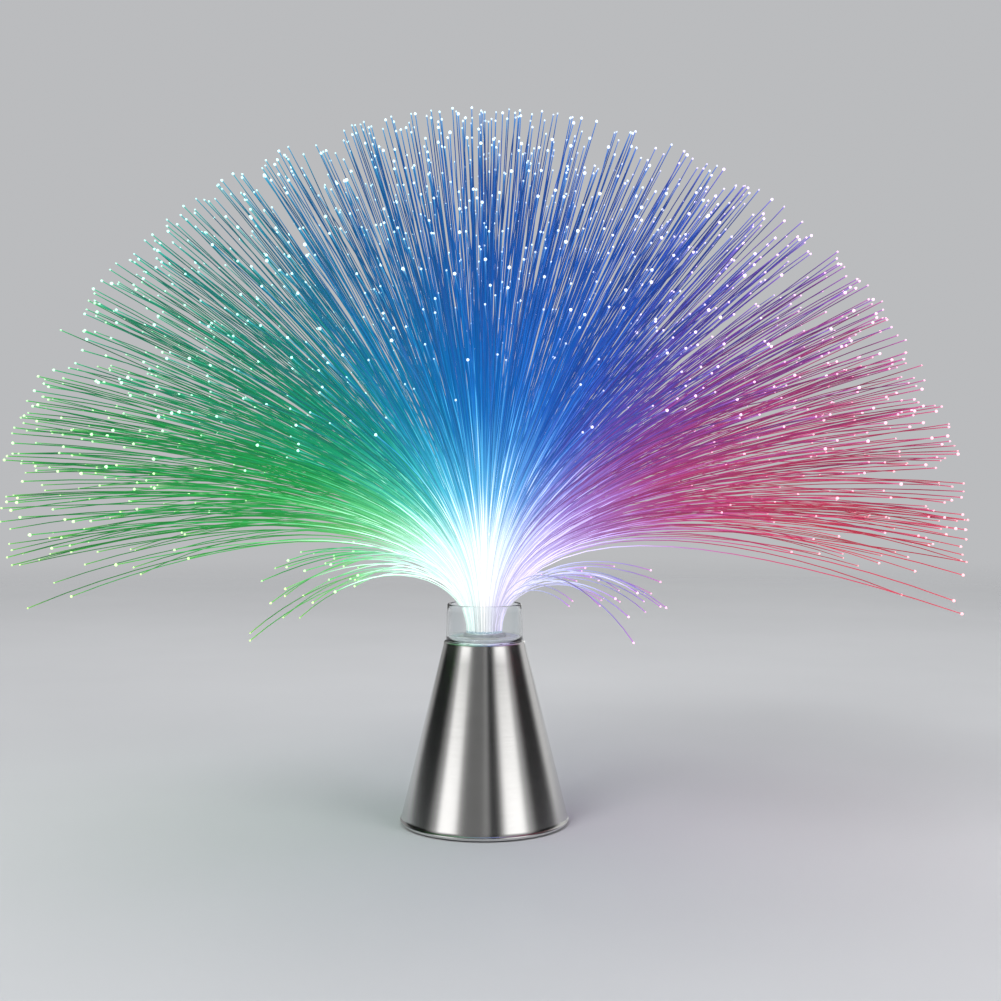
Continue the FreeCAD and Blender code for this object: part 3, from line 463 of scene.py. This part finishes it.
RING_ROUND = 0.0005
LIP_ROUND = 0.0004
GROOVE_DEPTH = 0.0003
ring_profile = [(NECK_HOLE, SHELL_TOP), (RING_RADIUS, SHELL_TOP)]
ring_profile += arc((RING_RADIUS - RING_ROUND, RING_TOP - RING_ROUND), RING_ROUND, 0, 90, 4)
ring_profile += [(0.0153, RING_TOP), (0.0151, RING_TOP - GROOVE_DEPTH),
                 (0.0145, RING_TOP - GROOVE_DEPTH), (0.0143, RING_TOP)]
ring_profile += arc((NECK_HOLE + LIP_ROUND, RING_TOP - LIP_ROUND), LIP_ROUND, 90, 180, 4)
ring = lathe("neck_ring", ring_profile,
             plastic("ring_plastic", rgb("e6e8eb"), 0.35, 1200.0, 0.00002, 0.02))
sharp_edges(ring)
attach(ring, "base")
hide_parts("top_ring")

# The clear collar: a thin tapered wall with rounded rims

COLLAR_GAP = 0.0002
COLLAR_TAPER = 0.0007
COLLAR_RIM = 0.0007
collar_inner = RING_RADIUS + COLLAR_GAP
wall = COLLAR_RADIUS - collar_inner
rise = COLLAR_TOP - COLLAR_RIM - SHELL_TOP
top_in = collar_inner - COLLAR_TAPER
top_out = COLLAR_RADIUS - COLLAR_TAPER
collar_profile = [(collar_inner, SHELL_TOP), (COLLAR_RADIUS, SHELL_TOP)]
collar_profile += [(COLLAR_RADIUS - COLLAR_TAPER * k / 6, SHELL_TOP + rise * k / 6)
                   for k in range(1, 6)]
collar_profile += arc(((top_in + top_out) / 2, COLLAR_TOP - wall / 2), wall / 2, 0, 180, 10)
collar_profile += [(collar_inner - COLLAR_TAPER * k / 6, SHELL_TOP + rise * k / 6)
                   for k in range(5, 0, -1)]
collar = lathe("clear_collar", collar_profile, clear_plastic(), 160)
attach(collar, "base")
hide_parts("guard_collar")

# The plug: a metal sleeve with crimp grooves, and the bonded bundle inside it

SLEEVE_GAP = 0.0001
SLEEVE_CHAMFER = 0.0004
CRIMPS = (0.004, 0.0052, 0.0064, 0.0165, 0.0177)
CRIMP_DEPTH = 0.00035
sleeve = [(CORE_RADIUS + SLEEVE_GAP, PLUG_FOOT), (FERRULE_RADIUS - SLEEVE_CHAMFER, PLUG_FOOT),
          (FERRULE_RADIUS, PLUG_FOOT + SLEEVE_CHAMFER)]
for crimp in CRIMPS:
    z = PLUG_FOOT + crimp
    sleeve += [(FERRULE_RADIUS, z), (FERRULE_RADIUS - CRIMP_DEPTH, z + 0.0002),
               (FERRULE_RADIUS - CRIMP_DEPTH, z + 0.0005), (FERRULE_RADIUS, z + 0.0007)]
sleeve += [(FERRULE_RADIUS, PLUG_TOP - SLEEVE_CHAMFER), (FERRULE_RADIUS - SLEEVE_CHAMFER, PLUG_TOP),
           (CORE_RADIUS + SLEEVE_GAP, PLUG_TOP)]
ferrule = lathe("plug_sleeve", sleeve, metal("ferrule_metal", rgb("cfd1d4"), 0.28), 128)
sharp_edges(ferrule)
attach(ferrule, "fiber_plug")
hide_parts("fiber_ferrule")


def bundle_end():
    """Bonded fibre ends: round dots set close together in clear resin."""
    t = Tree("fiber_bundle")
    shader = t.principled(Roughness=0.2, IOR=1.49)
    cells = t.add("TexVoronoi", feature="F1")
    cells.inputs["Scale"].default_value = 1900.0
    cells.inputs["Randomness"].default_value = 0.35
    t.join(t.place((1.0, 1.0, 0.02)), cells.inputs["Vector"])
    dots = t.ramp(cells.outputs["Distance"], [(0.25, rgb("f2fbff")), (0.45, rgb("9fb4be"))])
    t.put(shader.inputs["Base Color"], dots)
    t.put(shader.inputs["Emission Color"], dots)
    shader.inputs["Emission Strength"].default_value = 0.35
    t.bump(cells.outputs["Distance"], 0.3, 0.0001, shader)
    return t.material


core_profile = [(0.0, CORE_FOOT), (CORE_RADIUS - 0.0003, CORE_FOOT), (CORE_RADIUS, CORE_FOOT + 0.0003)]
core_profile += [(CORE_RADIUS, PLUG_TOP), (CORE_RADIUS - 0.0002, CORE_TOP - 0.0004),
                 (CORE_RADIUS - 0.0008, CORE_TOP), (0.0, CORE_TOP)]
core = lathe("bonded_bundle", core_profile, bundle_end(), 128, closed=False)
sharp_edges(core)
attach(core, "fiber_plug")
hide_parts("fiber_core")


# The spray of fibres. Each grows from its own place in a sunflower layout of the bundle and leans
# out more the nearer it is to the rim, stiff and upright first and then bending over.

# Distances are in metres. A drooping fibre's tint is given as the direction that has that colour.

FIBER_PAIRS = 1100
SUNFLOWER_TURN = math.radians(68.75388)
LENGTH = 0.238
BEND = 0.042
SIDE_LEAN = math.radians(100.0)
FRONT_LEAN = math.radians(60.0)
SAG = math.radians(12.0)
SHORTENING = 0.42
DROOPING_FROM = 0.84
DROOPING_SIDE = 0.6
DROOPING_CHANCE = 0.30
DROOPING_LEAN = {"left": math.radians(118.0), "right": math.radians(132.0)}
DROOPING_LENGTH = {"left": 0.103, "right": 0.080}
DROOPING_TINT = 48.0
BUNDLE = 0.0083
SPRAY_HALF_WIDTH = 0.2195
SPRAY_HALF_DEPTH = 0.1885
BOX_MARGIN = 0.0017
FINE_STEPS = 140
LIT_END = 0.012
TIP_SMALLEST = 0.00016
TIP_GROWTH = 0.00012
TIP_LENGTH = 5.0
FIBER_RADIUS = 0.00022
STEPS = 18
SIDES = 5
ZONES = [
    ("strands_green", "fiber_green", -1.01, -0.56),
    ("strands_teal", "fiber_teal", -0.56, -0.27),
    ("strands_blue", "fiber_blue", -0.27, 0.17),
    ("strands_violet", "fiber_violet", 0.17, 0.42),
    ("strands_magenta", "fiber_magenta", 0.42, 0.72),
    ("strands_red", "fiber_red", 0.72, 1.01),
]


def fiber_lines():
    """Points of every fibre, with its place across the bundle from -1 to 1."""
    chance = np.random.RandomState(41)
    rank = np.repeat(np.arange(FIBER_PAIRS), 2)
    count = len(rank)
    share = 1 - (rank + 0.5) / FIBER_PAIRS
    share = np.clip(share + chance.normal(0, 0.03, count), 0, 1)
    start = BUNDLE * np.sqrt(share)
    direction = rank * SUNFLOWER_TURN + math.pi * np.tile([0, 1], FIBER_PAIRS)
    direction += chance.normal(0, 0.12, count)
    across = start / BUNDLE * np.cos(direction)
    sideways_share = np.abs(np.cos(direction))
    widest = FRONT_LEAN + (SIDE_LEAN - FRONT_LEAN) * sideways_share ** 1.3
    lean = np.arccos(1 - share * (1 - np.cos(widest)))
    lean *= 1 + chance.normal(0, 0.025, count)
    length = LENGTH * (1 - SHORTENING * chance.rand(count) ** 4.5)
    bend = BEND * (1 + np.abs(chance.normal(0, 0.12, count)))
    sag = SAG * chance.uniform(0.4, 1.4, count)
    chosen = chance.rand(count) < DROOPING_CHANCE
    droops = (share > DROOPING_FROM) & (sideways_share > DROOPING_SIDE) & chosen
    on_right = np.cos(direction) > 0
    drooping_lean = np.where(on_right, DROOPING_LEAN["right"], DROOPING_LEAN["left"])
    lean = np.where(droops, drooping_lean * chance.uniform(0.86, 1.12, count), lean)
    drooping = np.where(on_right, DROOPING_LENGTH["right"], DROOPING_LENGTH["left"])
    drooping = drooping * chance.uniform(0.66, 1.3, count)
    length = np.where(droops, drooping, length)
    turned = direction + chance.normal(0, 0.045, count)
    wander = chance.normal(0, 0.1, count)

    travel = np.linspace(0, 1, FINE_STEPS + 1)[None, :] * length[:, None]
    middle = (travel[:, 1:] + travel[:, :-1]) / 2
    step = length[:, None] / FINE_STEPS
    tilt = lean[:, None] * (1 - np.exp(-middle / bend[:, None]))
    tilt += (sag * np.sin(np.minimum(lean, math.pi / 2)))[:, None] * (middle / length[:, None]) ** 2
    heading = turned[:, None] + wander[:, None] * (middle / LENGTH) ** 1.5
    dx = np.sin(tilt) * np.cos(heading) * step
    dy = np.sin(tilt) * np.sin(heading) * step
    dz = np.cos(tilt) * step
    points = np.zeros((count, FINE_STEPS + 1, 3))
    points[:, 0, 0] = start * np.cos(direction)
    points[:, 0, 1] = start * np.sin(direction)
    points[:, 0, 2] = CORE_TOP - 0.0002
    points[:, 1:] = points[:, :1] + np.cumsum(np.stack([dx, dy, dz], -1), axis=1)

    low = np.array(cad_box[0]) + BOX_MARGIN
    high = np.array(cad_box[1]) - BOX_MARGIN
    round_reach = ((points[..., 0] / SPRAY_HALF_WIDTH) ** 2
                   + (points[..., 1] / SPRAY_HALF_DEPTH) ** 2)
    inside_box = np.all((points > low) & (points < high), axis=-1) & (round_reach < 1)
    last = np.where(inside_box.all(axis=1), FINE_STEPS, np.argmin(inside_box, axis=1) - 1)
    picks = (np.arange(STEPS + 1) / STEPS) ** 1.4
    where = picks[None, :] * last[:, None]
    floor = np.floor(where).astype(int)
    after = np.minimum(floor + 1, FINE_STEPS)
    part = (where - floor)[..., None]
    rows = np.arange(count)[:, None]
    line = points[rows, floor] * (1 - part) + points[rows, after] * part
    reach = where * step
    tip = line[:, -1]
    angle = np.degrees(np.arctan2(tip[:, 0], tip[:, 2] - CORE_TOP))
    angle = np.where(droops & on_right, DROOPING_TINT, angle) + chance.normal(0, 2.5, count)
    tone = np.clip(angle / 200 + 0.5, 0, 1)
    return line, reach, across, tone, turned, chance.rand(count)


TIP_RINGS = ((0.0, 1.0), (0.10, 1.9), (0.32, 2.4), (0.58, 2.3), (0.80, 1.5), (0.92, 0.6))


def lay_out_strips(piece, count, rings, side_faces):
    """A texture map that gives every fibre an upright strip of its own, with its two ends beyond."""
    columns = math.ceil(math.sqrt(count * 12))
    rows = math.ceil(count / columns)
    turn = np.arange(SIDES) * 2 * math.pi / SIDES
    around = side_faces % SIDES
    wraps = (around == 0) & (np.arange(4) % 3 != 0)[None, :]
    across = 0.1 + 0.8 * (around + SIDES * wraps) / SIDES
    up = 0.05 + 0.9 * (side_faces // SIDES) / (rings - 1)
    body = np.stack([across, up], -1).reshape(-1, 2)
    foot = np.stack([0.5 + 0.3 * np.cos(turn), 0.022 + 0.018 * np.sin(turn)], -1)
    tip = np.stack([0.5 + 0.3 * np.cos(turn), 0.978 + 0.018 * np.sin(turn)], -1)
    strip = np.concatenate([body, foot[::-1], tip])
    number = np.arange(count)
    corner = np.stack([number % columns, number // columns], -1)[:, None, :]
    spots = (corner + strip[None]) / np.array([columns, rows])
    layer = piece.data.uv_layers.new(name="OFBake")
    layer.uv.foreach_set("vector", spots.astype(np.float32).ravel())


def make_fibers():
    line, reach, across, tone, turned, shade = fiber_lines()
    count, rings = line.shape[:2]
    tangent = np.gradient(line, axis=1)
    tangent /= np.linalg.norm(tangent, axis=-1, keepdims=True)
    side = np.stack([-np.sin(turned), np.cos(turned), np.zeros(count)], -1)[:, None, :]
    side = side - tangent * np.sum(side * tangent, -1, keepdims=True)
    side /= np.linalg.norm(side, axis=-1, keepdims=True)
    other = np.cross(tangent, side)

    radii = np.full((count, rings), FIBER_RADIUS)
    tip_size = TIP_SMALLEST + TIP_GROWTH * shade ** 2
    tip_line, tip_radii = [], []
    for ahead, swell in TIP_RINGS:
        tip_line.append(line[:, -1] + tangent[:, -1] * (ahead * tip_size * TIP_LENGTH)[:, None])
        tip_radii.append(np.where(swell > 1.0, swell * tip_size, FIBER_RADIUS * swell))
    all_line = np.concatenate([line, np.stack(tip_line, 1)[:, 1:]], axis=1)
    all_radii = np.concatenate([radii, np.stack(tip_radii, 1)[:, 1:]], axis=1)
    extra = len(TIP_RINGS) - 1
    all_side = np.concatenate([side, np.repeat(side[:, -1:], extra, axis=1)], axis=1)
    all_other = np.concatenate([other, np.repeat(other[:, -1:], extra, axis=1)], axis=1)
    along = np.concatenate([reach, np.repeat(reach[:, -1:], extra, axis=1)], axis=1) / LENGTH
    end = (along[:, -1:] - along) * LENGTH / LIT_END

    angles = np.arange(SIDES) * 2 * math.pi / SIDES
    ring = (all_side[:, :, None] * np.cos(angles)[None, None, :, None]
            + all_other[:, :, None] * np.sin(angles)[None, None, :, None])
    verts = all_line[:, :, None] + ring * all_radii[:, :, None, None]
    total = rings + extra
    side_faces = []
    for k in range(total - 1):
        for n in range(SIDES):
            m = (n + 1) % SIDES
            side_faces.append((k * SIDES + n, k * SIDES + m, (k + 1) * SIDES + m, (k + 1) * SIDES + n))
    side_faces = np.array(side_faces)
    ends = [tuple(range(SIDES))[::-1], tuple((total - 1) * SIDES + n for n in range(SIDES))]
    per_fiber = total * SIDES
    is_tip = np.repeat(np.arange(total - 1) >= rings - 1, SIDES)

    for node, slot, low, high in ZONES:
        chosen = np.flatnonzero((across >= low) & (across < high))
        faces, indices = [], []
        for k in range(len(chosen)):
            base = k * per_fiber
            faces.extend((side_faces + base).tolist())
            indices.extend(is_tip.astype(int).tolist())
            faces.extend([[base + n for n in end] for end in ends])
            indices.extend([0, 1])
        piece = object_from("lit_" + node, verts[chosen].reshape(-1, 3), faces,
                            [fiber_light(slot), tip_light(slot + "_tip")], indices)
        values = {
            "across": np.repeat(tone[chosen], per_fiber),
            "end": np.repeat(end[chosen], SIDES, axis=1).ravel(),
            "shade": np.repeat(shade[chosen], per_fiber),
            "along": np.repeat(along[chosen], SIDES, axis=1).ravel(),
        }
        for name, data in values.items():
            attribute = piece.data.attributes.new(name, "FLOAT", "POINT")
            attribute.data.foreach_set("value", data.astype(np.float32))
        lay_out_strips(piece, len(chosen), total, side_faces)
        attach(piece, "fiber_plug")
        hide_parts(node)


make_fibers()


# The underside: cover and door with rounded moulded edges, and the screws in their wells

cover_plastic = plastic("black_plastic", rgb("303136"), 0.55, 1500.0, 0.00005, 0.05)
cover = softened("bottom_cover", "moulded_cover", cover_plastic, 0.00018)
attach(cover, "base")
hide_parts("bottom_cover")

door_plastic = plastic("door_plastic", rgb("35363b"), 0.5, 1500.0, 0.00005, 0.05)
door = softened("battery_door", "moulded_door", door_plastic, 0.0002)
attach(door, "door")
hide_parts("battery_door")

knob_plastic = plastic("knob_plastic", rgb("3c3d43"), 0.42, 1800.0, 0.00003, 0.05)
knob = softened("switch_knob", "ribbed_knob", knob_plastic, 0.00012)
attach(knob, "switch_slider")
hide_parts("switch_knob")


SCREW_PLACE = 0.02201
THREAD_PITCH = 0.0011


def make_screws():
    """Two screws with bevelled hexagon heads and turned threads, one on each side of the axis."""
    low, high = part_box("cover_screws")
    verts, faces = [], []
    for side in (-1.0, 1.0):
        middle = side * SCREW_PLACE
        seat = low.z + 0.002
        # head: a hexagon with a bevelled face and a shallow dish
        rows = [(0.0, low.z + 0.0005, 0), (0.0013, low.z + 0.00045, 0), (0.0020, low.z, 0),
                (0.0024, low.z, 1), (0.0028, low.z + 0.0004, 1), (0.0028, seat, 1)]
        thread = seat
        while thread < high.z - 0.0022:
            rows += [(0.00115, thread + 0.0001, 0), (0.00150, thread + THREAD_PITCH * 0.5, 0)]
            thread += THREAD_PITCH
        rows += [(0.0011, high.z - 0.0012, 0), (0.0, high.z, 0)]
        base_rings = []
        sides = 36
        for radius, z, hexagon in rows:
            if radius == 0.0:
                base_rings.append([len(verts)])
                verts.append((0.0, middle, z))
                continue
            ring_ids = []
            for k in range(sides):
                angle = 2 * math.pi * k / sides
                reach = radius
                if hexagon:
                    local = (angle % (math.pi / 3)) - math.pi / 6
                    reach = radius * math.cos(math.pi / 6) / math.cos(local)
                ring_ids.append(len(verts))
                verts.append((reach * math.cos(angle), middle + reach * math.sin(angle), z))
            base_rings.append(ring_ids)
        for one, two in zip(base_rings, base_rings[1:]):
            for k in range(sides):
                after = (k + 1) % sides
                if len(one) == 1:
                    faces.append((one[0], two[after], two[k]))
                elif len(two) == 1:
                    faces.append((one[k], one[after], two[0]))
                else:
                    faces.append((one[k], one[after], two[after], two[k]))
    made = object_from("base_screws", verts, faces, [metal("screw_steel", rgb("b9babd"), 0.32)])
    fix_normals(made)
    sharp_edges(made)
    return made


screws = make_screws()
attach(screws, "base")
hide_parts("cover_screws")


# The cells: a sleeved can with a crimped shoulder and bare ends

def cell_material():
    """Sleeve in the middle, bare metal where the can turns in at both ends."""
    t = Tree("cell_can")
    shader = t.principled(Roughness=0.3)
    bare = t.attribute("bare")
    lines = t.noise(t.place((1.0, 30.0, 30.0)), 200.0, 3.0)
    sleeve_color = t.ramp(lines, [(0.3, rgb("3b4048")), (0.7, rgb("4a505a"))])
    t.put(shader.inputs["Base Color"], color_mix(t, bare, sleeve_color, rgb("c9c9c6")))
    t.put(shader.inputs["Metallic"], bare)
    t.put(shader.inputs["Roughness"], t.ramp(lines, [(0.3, 0.22), (0.7, 0.36)]))
    return t.material


def make_cell(node, material):
    low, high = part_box(node)
    middle = (low + high) / 2
    radius = (high.z - low.z) / 2 - 0.00005
    half = (high.x - low.x) / 2
    turned = node == "battery_2"
    profile = [(0.0, -half, 1), (radius - 0.0014, -half, 1), (radius - 0.0010, -half + 0.0002, 1),
               (radius - 0.0006, -half, 1), (radius - 0.0002, -half + 0.0002, 1),
               (radius, -half + 0.0007, 0), (radius, half - 0.0021, 0),
               (radius - 0.0002, half - 0.0015, 0), (radius - 0.0010, half - 0.0011, 1),
               (radius - 0.0014, half - 0.0013, 1), (0.0021, half - 0.0012, 1),
               (0.0019, half - 0.0009, 1), (0.0019, half - 0.0002, 1), (0.0017, half, 1),
               (0.0, half, 1)]
    way = 1.0 if turned else -1.0
    verts, rings, bare = [], [], []
    sides = 64
    for r, x, metal_here in profile:
        ids = []
        for k in range(1 if r == 0.0 else sides):
            angle = 2 * math.pi * k / sides
            ids.append(len(verts))
            verts.append((middle.x + way * x, middle.y + r * math.cos(angle),
                          middle.z + r * math.sin(angle)))
            bare.append(float(metal_here))
        rings.append(ids)
    faces = []
    for one, two in zip(rings, rings[1:]):
        for k in range(sides):
            after = (k + 1) % sides
            if len(one) == 1:
                faces.append((one[0], two[after], two[k]))
            elif len(two) == 1:
                faces.append((one[k], one[after], two[0]))
            else:
                faces.append((one[k], one[after], two[after], two[k]))
    made = object_from("sleeved_" + node, verts, faces, [material])
    attribute = made.data.attributes.new("bare", "FLOAT", "POINT")
    attribute.data.foreach_set("value", bare)
    fix_normals(made)
    sharp_edges(made)
    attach(made, "base")
    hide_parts(node)
    return made


cell_look = cell_material()
cells = [make_cell(node, cell_look) for node in ("battery_1", "battery_2", "battery_3")]


# The inner pieces keep their CAD shapes and get materials of their own

def board_look():
    """Green solder mask over a faint woven board, with copper-tinted tracks showing through."""
    t = Tree("board_laminate")
    shader = t.principled(Roughness=0.3)
    tracks = t.add("TexBrick")
    for name, value in (("Scale", 1.0), ("Mortar Size", 0.0006), ("Brick Width", 0.0052),
                        ("Row Height", 0.0026)):
        tracks.inputs[name].default_value = value
    t.join(t.place(), tracks.inputs["Vector"])
    weave = t.noise(t.place((900.0, 900.0, 900.0)), 1.0, 2.0)
    mask = t.ramp(weave, [(0.3, rgb("0f4f2a")), (0.7, rgb("14633a"))])
    t.put(shader.inputs["Base Color"], color_mix(t, tracks.outputs["Fac"], mask, rgb("2f7d45")))
    t.bump(tracks.outputs["Fac"], 0.3, 0.00004, shader)
    return t.material


def lens_look(name, color):
    """Tinted clear lamp body, lit from inside."""
    t = Tree(name)
    shader = t.principled(Roughness=0.12, IOR=1.5)
    shader.inputs["Transmission Weight"].default_value = 0.5
    height = t.noise(t.place(), 400.0, 2.0)
    glow = t.ramp(height, [(0.3, tuple(c * 0.8 for c in color)), (0.7, color)])
    t.put(shader.inputs["Base Color"], glow)
    t.put(shader.inputs["Emission Color"], glow)
    shader.inputs["Emission Strength"].default_value = 0.8
    return t.material


inner_looks = {
    "inner_frame": plastic("frame_plastic", rgb("dcdcd8"), 0.5, 900.0, 0.00004, 0.03),
    "circuit_board": board_look(),
    "controller_chip": plastic("chip_epoxy", rgb("202124"), 0.5, 2500.0, 0.00003, 0.05),
    "resistors": plastic("resistor_body", rgb("2e2f33"), 0.35, 3000.0, 0.00002, 0.08),
    "green_led": lens_look("led_green", rgb("55e06a")),
    "blue_led": lens_look("led_blue", rgb("4f7dff")),
    "red_led": lens_look("led_red", rgb("ff4a4a")),
    "switch_body": metal("switch_can", rgb("b8b9bb"), 0.35),
    "battery_lead": plastic("red_wire", rgb("b3201a"), 0.35, 700.0, 0.00003, 0.06),
    "return_lead": plastic("black_wire", rgb("1f2022"), 0.35, 700.0, 0.00003, 0.06),
    "switch_lead": plastic("white_wire", rgb("e4e4e0"), 0.35, 700.0, 0.00003, 0.03),
}
plating = metal("contact_plating", rgb("cbcbc6"), 0.25, (40.0, 1.0, 1.0))
for contact in ("positive_contact", "negative_contact", "front_link_contact", "rear_link_contact"):
    inner_looks[contact] = plating
for node, look in inner_looks.items():
    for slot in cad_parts[node].material_slots:
        slot.material = look


# The stage: a round pale floor that fades into the studio's plain background, soft lamps, and tall
# cards that the steel reflects

FLOOR_RADIUS = 2.6
SKY_COLOR = (0.75, 0.76, 0.78)
SKY_LIGHT = 0.45
SKY_SHOWN = 0.66


def floor_material():
    """Matt pale floor, clear towards its edge and when seen from below."""
    t = Tree("floor")
    shader = t.principled(Roughness=0.9)
    shader.inputs["Specular IOR Level"].default_value = 0.1
    where = t.place()
    grain = t.noise(where, 3.0, 3.0)
    t.put(shader.inputs["Base Color"], t.ramp(grain, [(0.3, rgb("c3c4c6")), (0.7, rgb("c8c9cb"))]))
    distance = t.add("VectorMath", operation="LENGTH")
    t.join(where, distance.inputs[0])
    share = t.math("DIVIDE", distance.outputs["Value"], FLOOR_RADIUS)
    fade = t.ramp(share, [(0.25, 0.0), (0.9, 1.0)], smooth=True)
    below = t.add("NewGeometry").outputs["Backfacing"]
    clear = t.add("BsdfTransparent")
    choose = t.add("MixShader")
    t.join(t.math("MAXIMUM", fade, below), choose.inputs[0])
    t.join(shader.outputs[0], choose.inputs[1])
    t.join(clear.outputs[0], choose.inputs[2])
    t.join(choose.outputs[0], t.out.inputs["Surface"])
    return t.material


def make_floor():
    sides = 96
    verts = [(FLOOR_RADIUS * math.cos(2 * math.pi * k / sides),
              FLOOR_RADIUS * math.sin(2 * math.pi * k / sides), 0.0) for k in range(sides)]
    floor = object_from("floor", verts, [tuple(range(sides))], [floor_material()])


make_floor()


AMBIENT = 0.34
CARD_DISTANCE = 1.5
CARD_FOOT = -0.4
CARD_TOP = 3.2
CARD_STRIPS = 16


def card(name, azimuth, width, strength, fading=1.0):
    """An upright curved card that only mirror-like surfaces see, blending into the room at its
    sides. Azimuth 0 is behind the camera."""
    t = Tree(name)
    glow = t.add("Emission")
    height = t.add("SeparateXYZ")
    t.join(t.place(), height.inputs[0])
    fade = t.ramp(height.outputs["Z"], [(0.35, strength), (0.7, strength * fading)])
    inward = t.ramp(t.attribute("inward"), [(0.0, 0.0), (0.45, 1.0)], smooth=True)
    t.put(glow.inputs["Strength"], color_mix(t, inward, (AMBIENT, AMBIENT, AMBIENT), fade))
    t.join(glow.outputs[0], t.out.inputs["Surface"])
    verts, inward_values = [], []
    for k in range(CARD_STRIPS + 1):
        share = k / CARD_STRIPS
        angle = math.radians(azimuth + width * (share - 0.5))
        for z in (CARD_FOOT, CARD_TOP):
            verts.append((CARD_DISTANCE * math.sin(angle), -CARD_DISTANCE * math.cos(angle), z))
            inward_values.append(1.0 - abs(2.0 * share - 1.0))
    faces = [(2 * k, 2 * k + 1, 2 * k + 3, 2 * k + 2) for k in range(CARD_STRIPS)]
    made = object_from(name, verts, faces, [t.material])
    attribute = made.data.attributes.new("inward", "FLOAT", "POINT")
    attribute.data.foreach_set("value", inward_values)
    made.visible_camera = False
    made.visible_diffuse = False
    made.visible_shadow = False
    made.visible_transmission = False


card("card_left", -52.0, 36.0, 1.75, 0.12)
card("card_right", 44.0, 40.0, 1.75, 0.2)
card("card_front", -15.0, 38.0, 0.17)
card("flag_left", -105.0, 68.0, 0.0)
card("flag_right", 93.0, 52.0, 0.01)
card("flag_middle", 15.0, 20.0, 0.0)
card("edge_left", -152.0, 26.0, 0.3)
card("edge_right", 133.0, 34.0, 0.7)
card("card_back", 165.0, 22.0, 1.3, 0.4)
card("flag_back", -173.0, 16.0, 0.02)


def lamp(name, location, size, power):
    data = bpy.data.lights.new(name, "AREA")
    data.shape = "DISK"
    data.size = size
    data.energy = power
    made = bpy.data.objects.new(name, data)
    made.location = location
    towards = Vector((0.0, 0.0, 0.12)) - Vector(location)
    made.rotation_euler = towards.to_track_quat("-Z", "Y").to_euler()
    made.visible_camera = False
    made.visible_glossy = False
    bpy.context.scene.collection.objects.link(made)
    return made


lamp("key", (-1.3, -1.6, 2.0), 1.2, 38.0)
lamp("fill", (1.6, -1.2, 1.4), 1.4, 18.0)
lamp("top", (0.0, 0.6, 2.4), 1.6, 22.0)

# One more lamp stands under the floor and reaches only the pieces of the underside
underside = bpy.data.collections.new("underside")
for piece in [cover, door, knob, screws, *cells, *[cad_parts[node] for node in inner_looks]]:
    underside.objects.link(piece)
low_lamp = lamp("low", (0.45, -0.6, -0.8), 0.7, 12.0)
low_lamp.light_linking.receiver_collection = underside
low_lamp.light_linking.blocker_collection = underside


def make_world():
    """A plain pale background for the camera, metal and glass, and a dimmer even light for the rest."""
    world = bpy.data.worlds.new("studio")
    world.use_nodes = True
    nodes, links = world.node_tree.nodes, world.node_tree.links
    background = nodes["Background"]
    background.inputs["Color"].default_value = (*SKY_COLOR, 1.0)
    rays = nodes.new("ShaderNodeLightPath")
    seen = rays.outputs["Is Camera Ray"]
    for kind in ("Is Glossy Ray", "Is Transmission Ray"):
        either = nodes.new("ShaderNodeMath")
        either.operation = "MAXIMUM"
        links.new(seen, either.inputs[0])
        links.new(rays.outputs[kind], either.inputs[1])
        seen = either.outputs[0]
    strength = nodes.new("ShaderNodeMath")
    strength.operation = "MULTIPLY_ADD"
    strength.inputs[1].default_value = SKY_SHOWN - SKY_LIGHT
    strength.inputs[2].default_value = SKY_LIGHT
    links.new(seen, strength.inputs[0])
    links.new(strength.outputs[0], background.inputs["Strength"])
    bpy.context.scene.world = world


make_world()
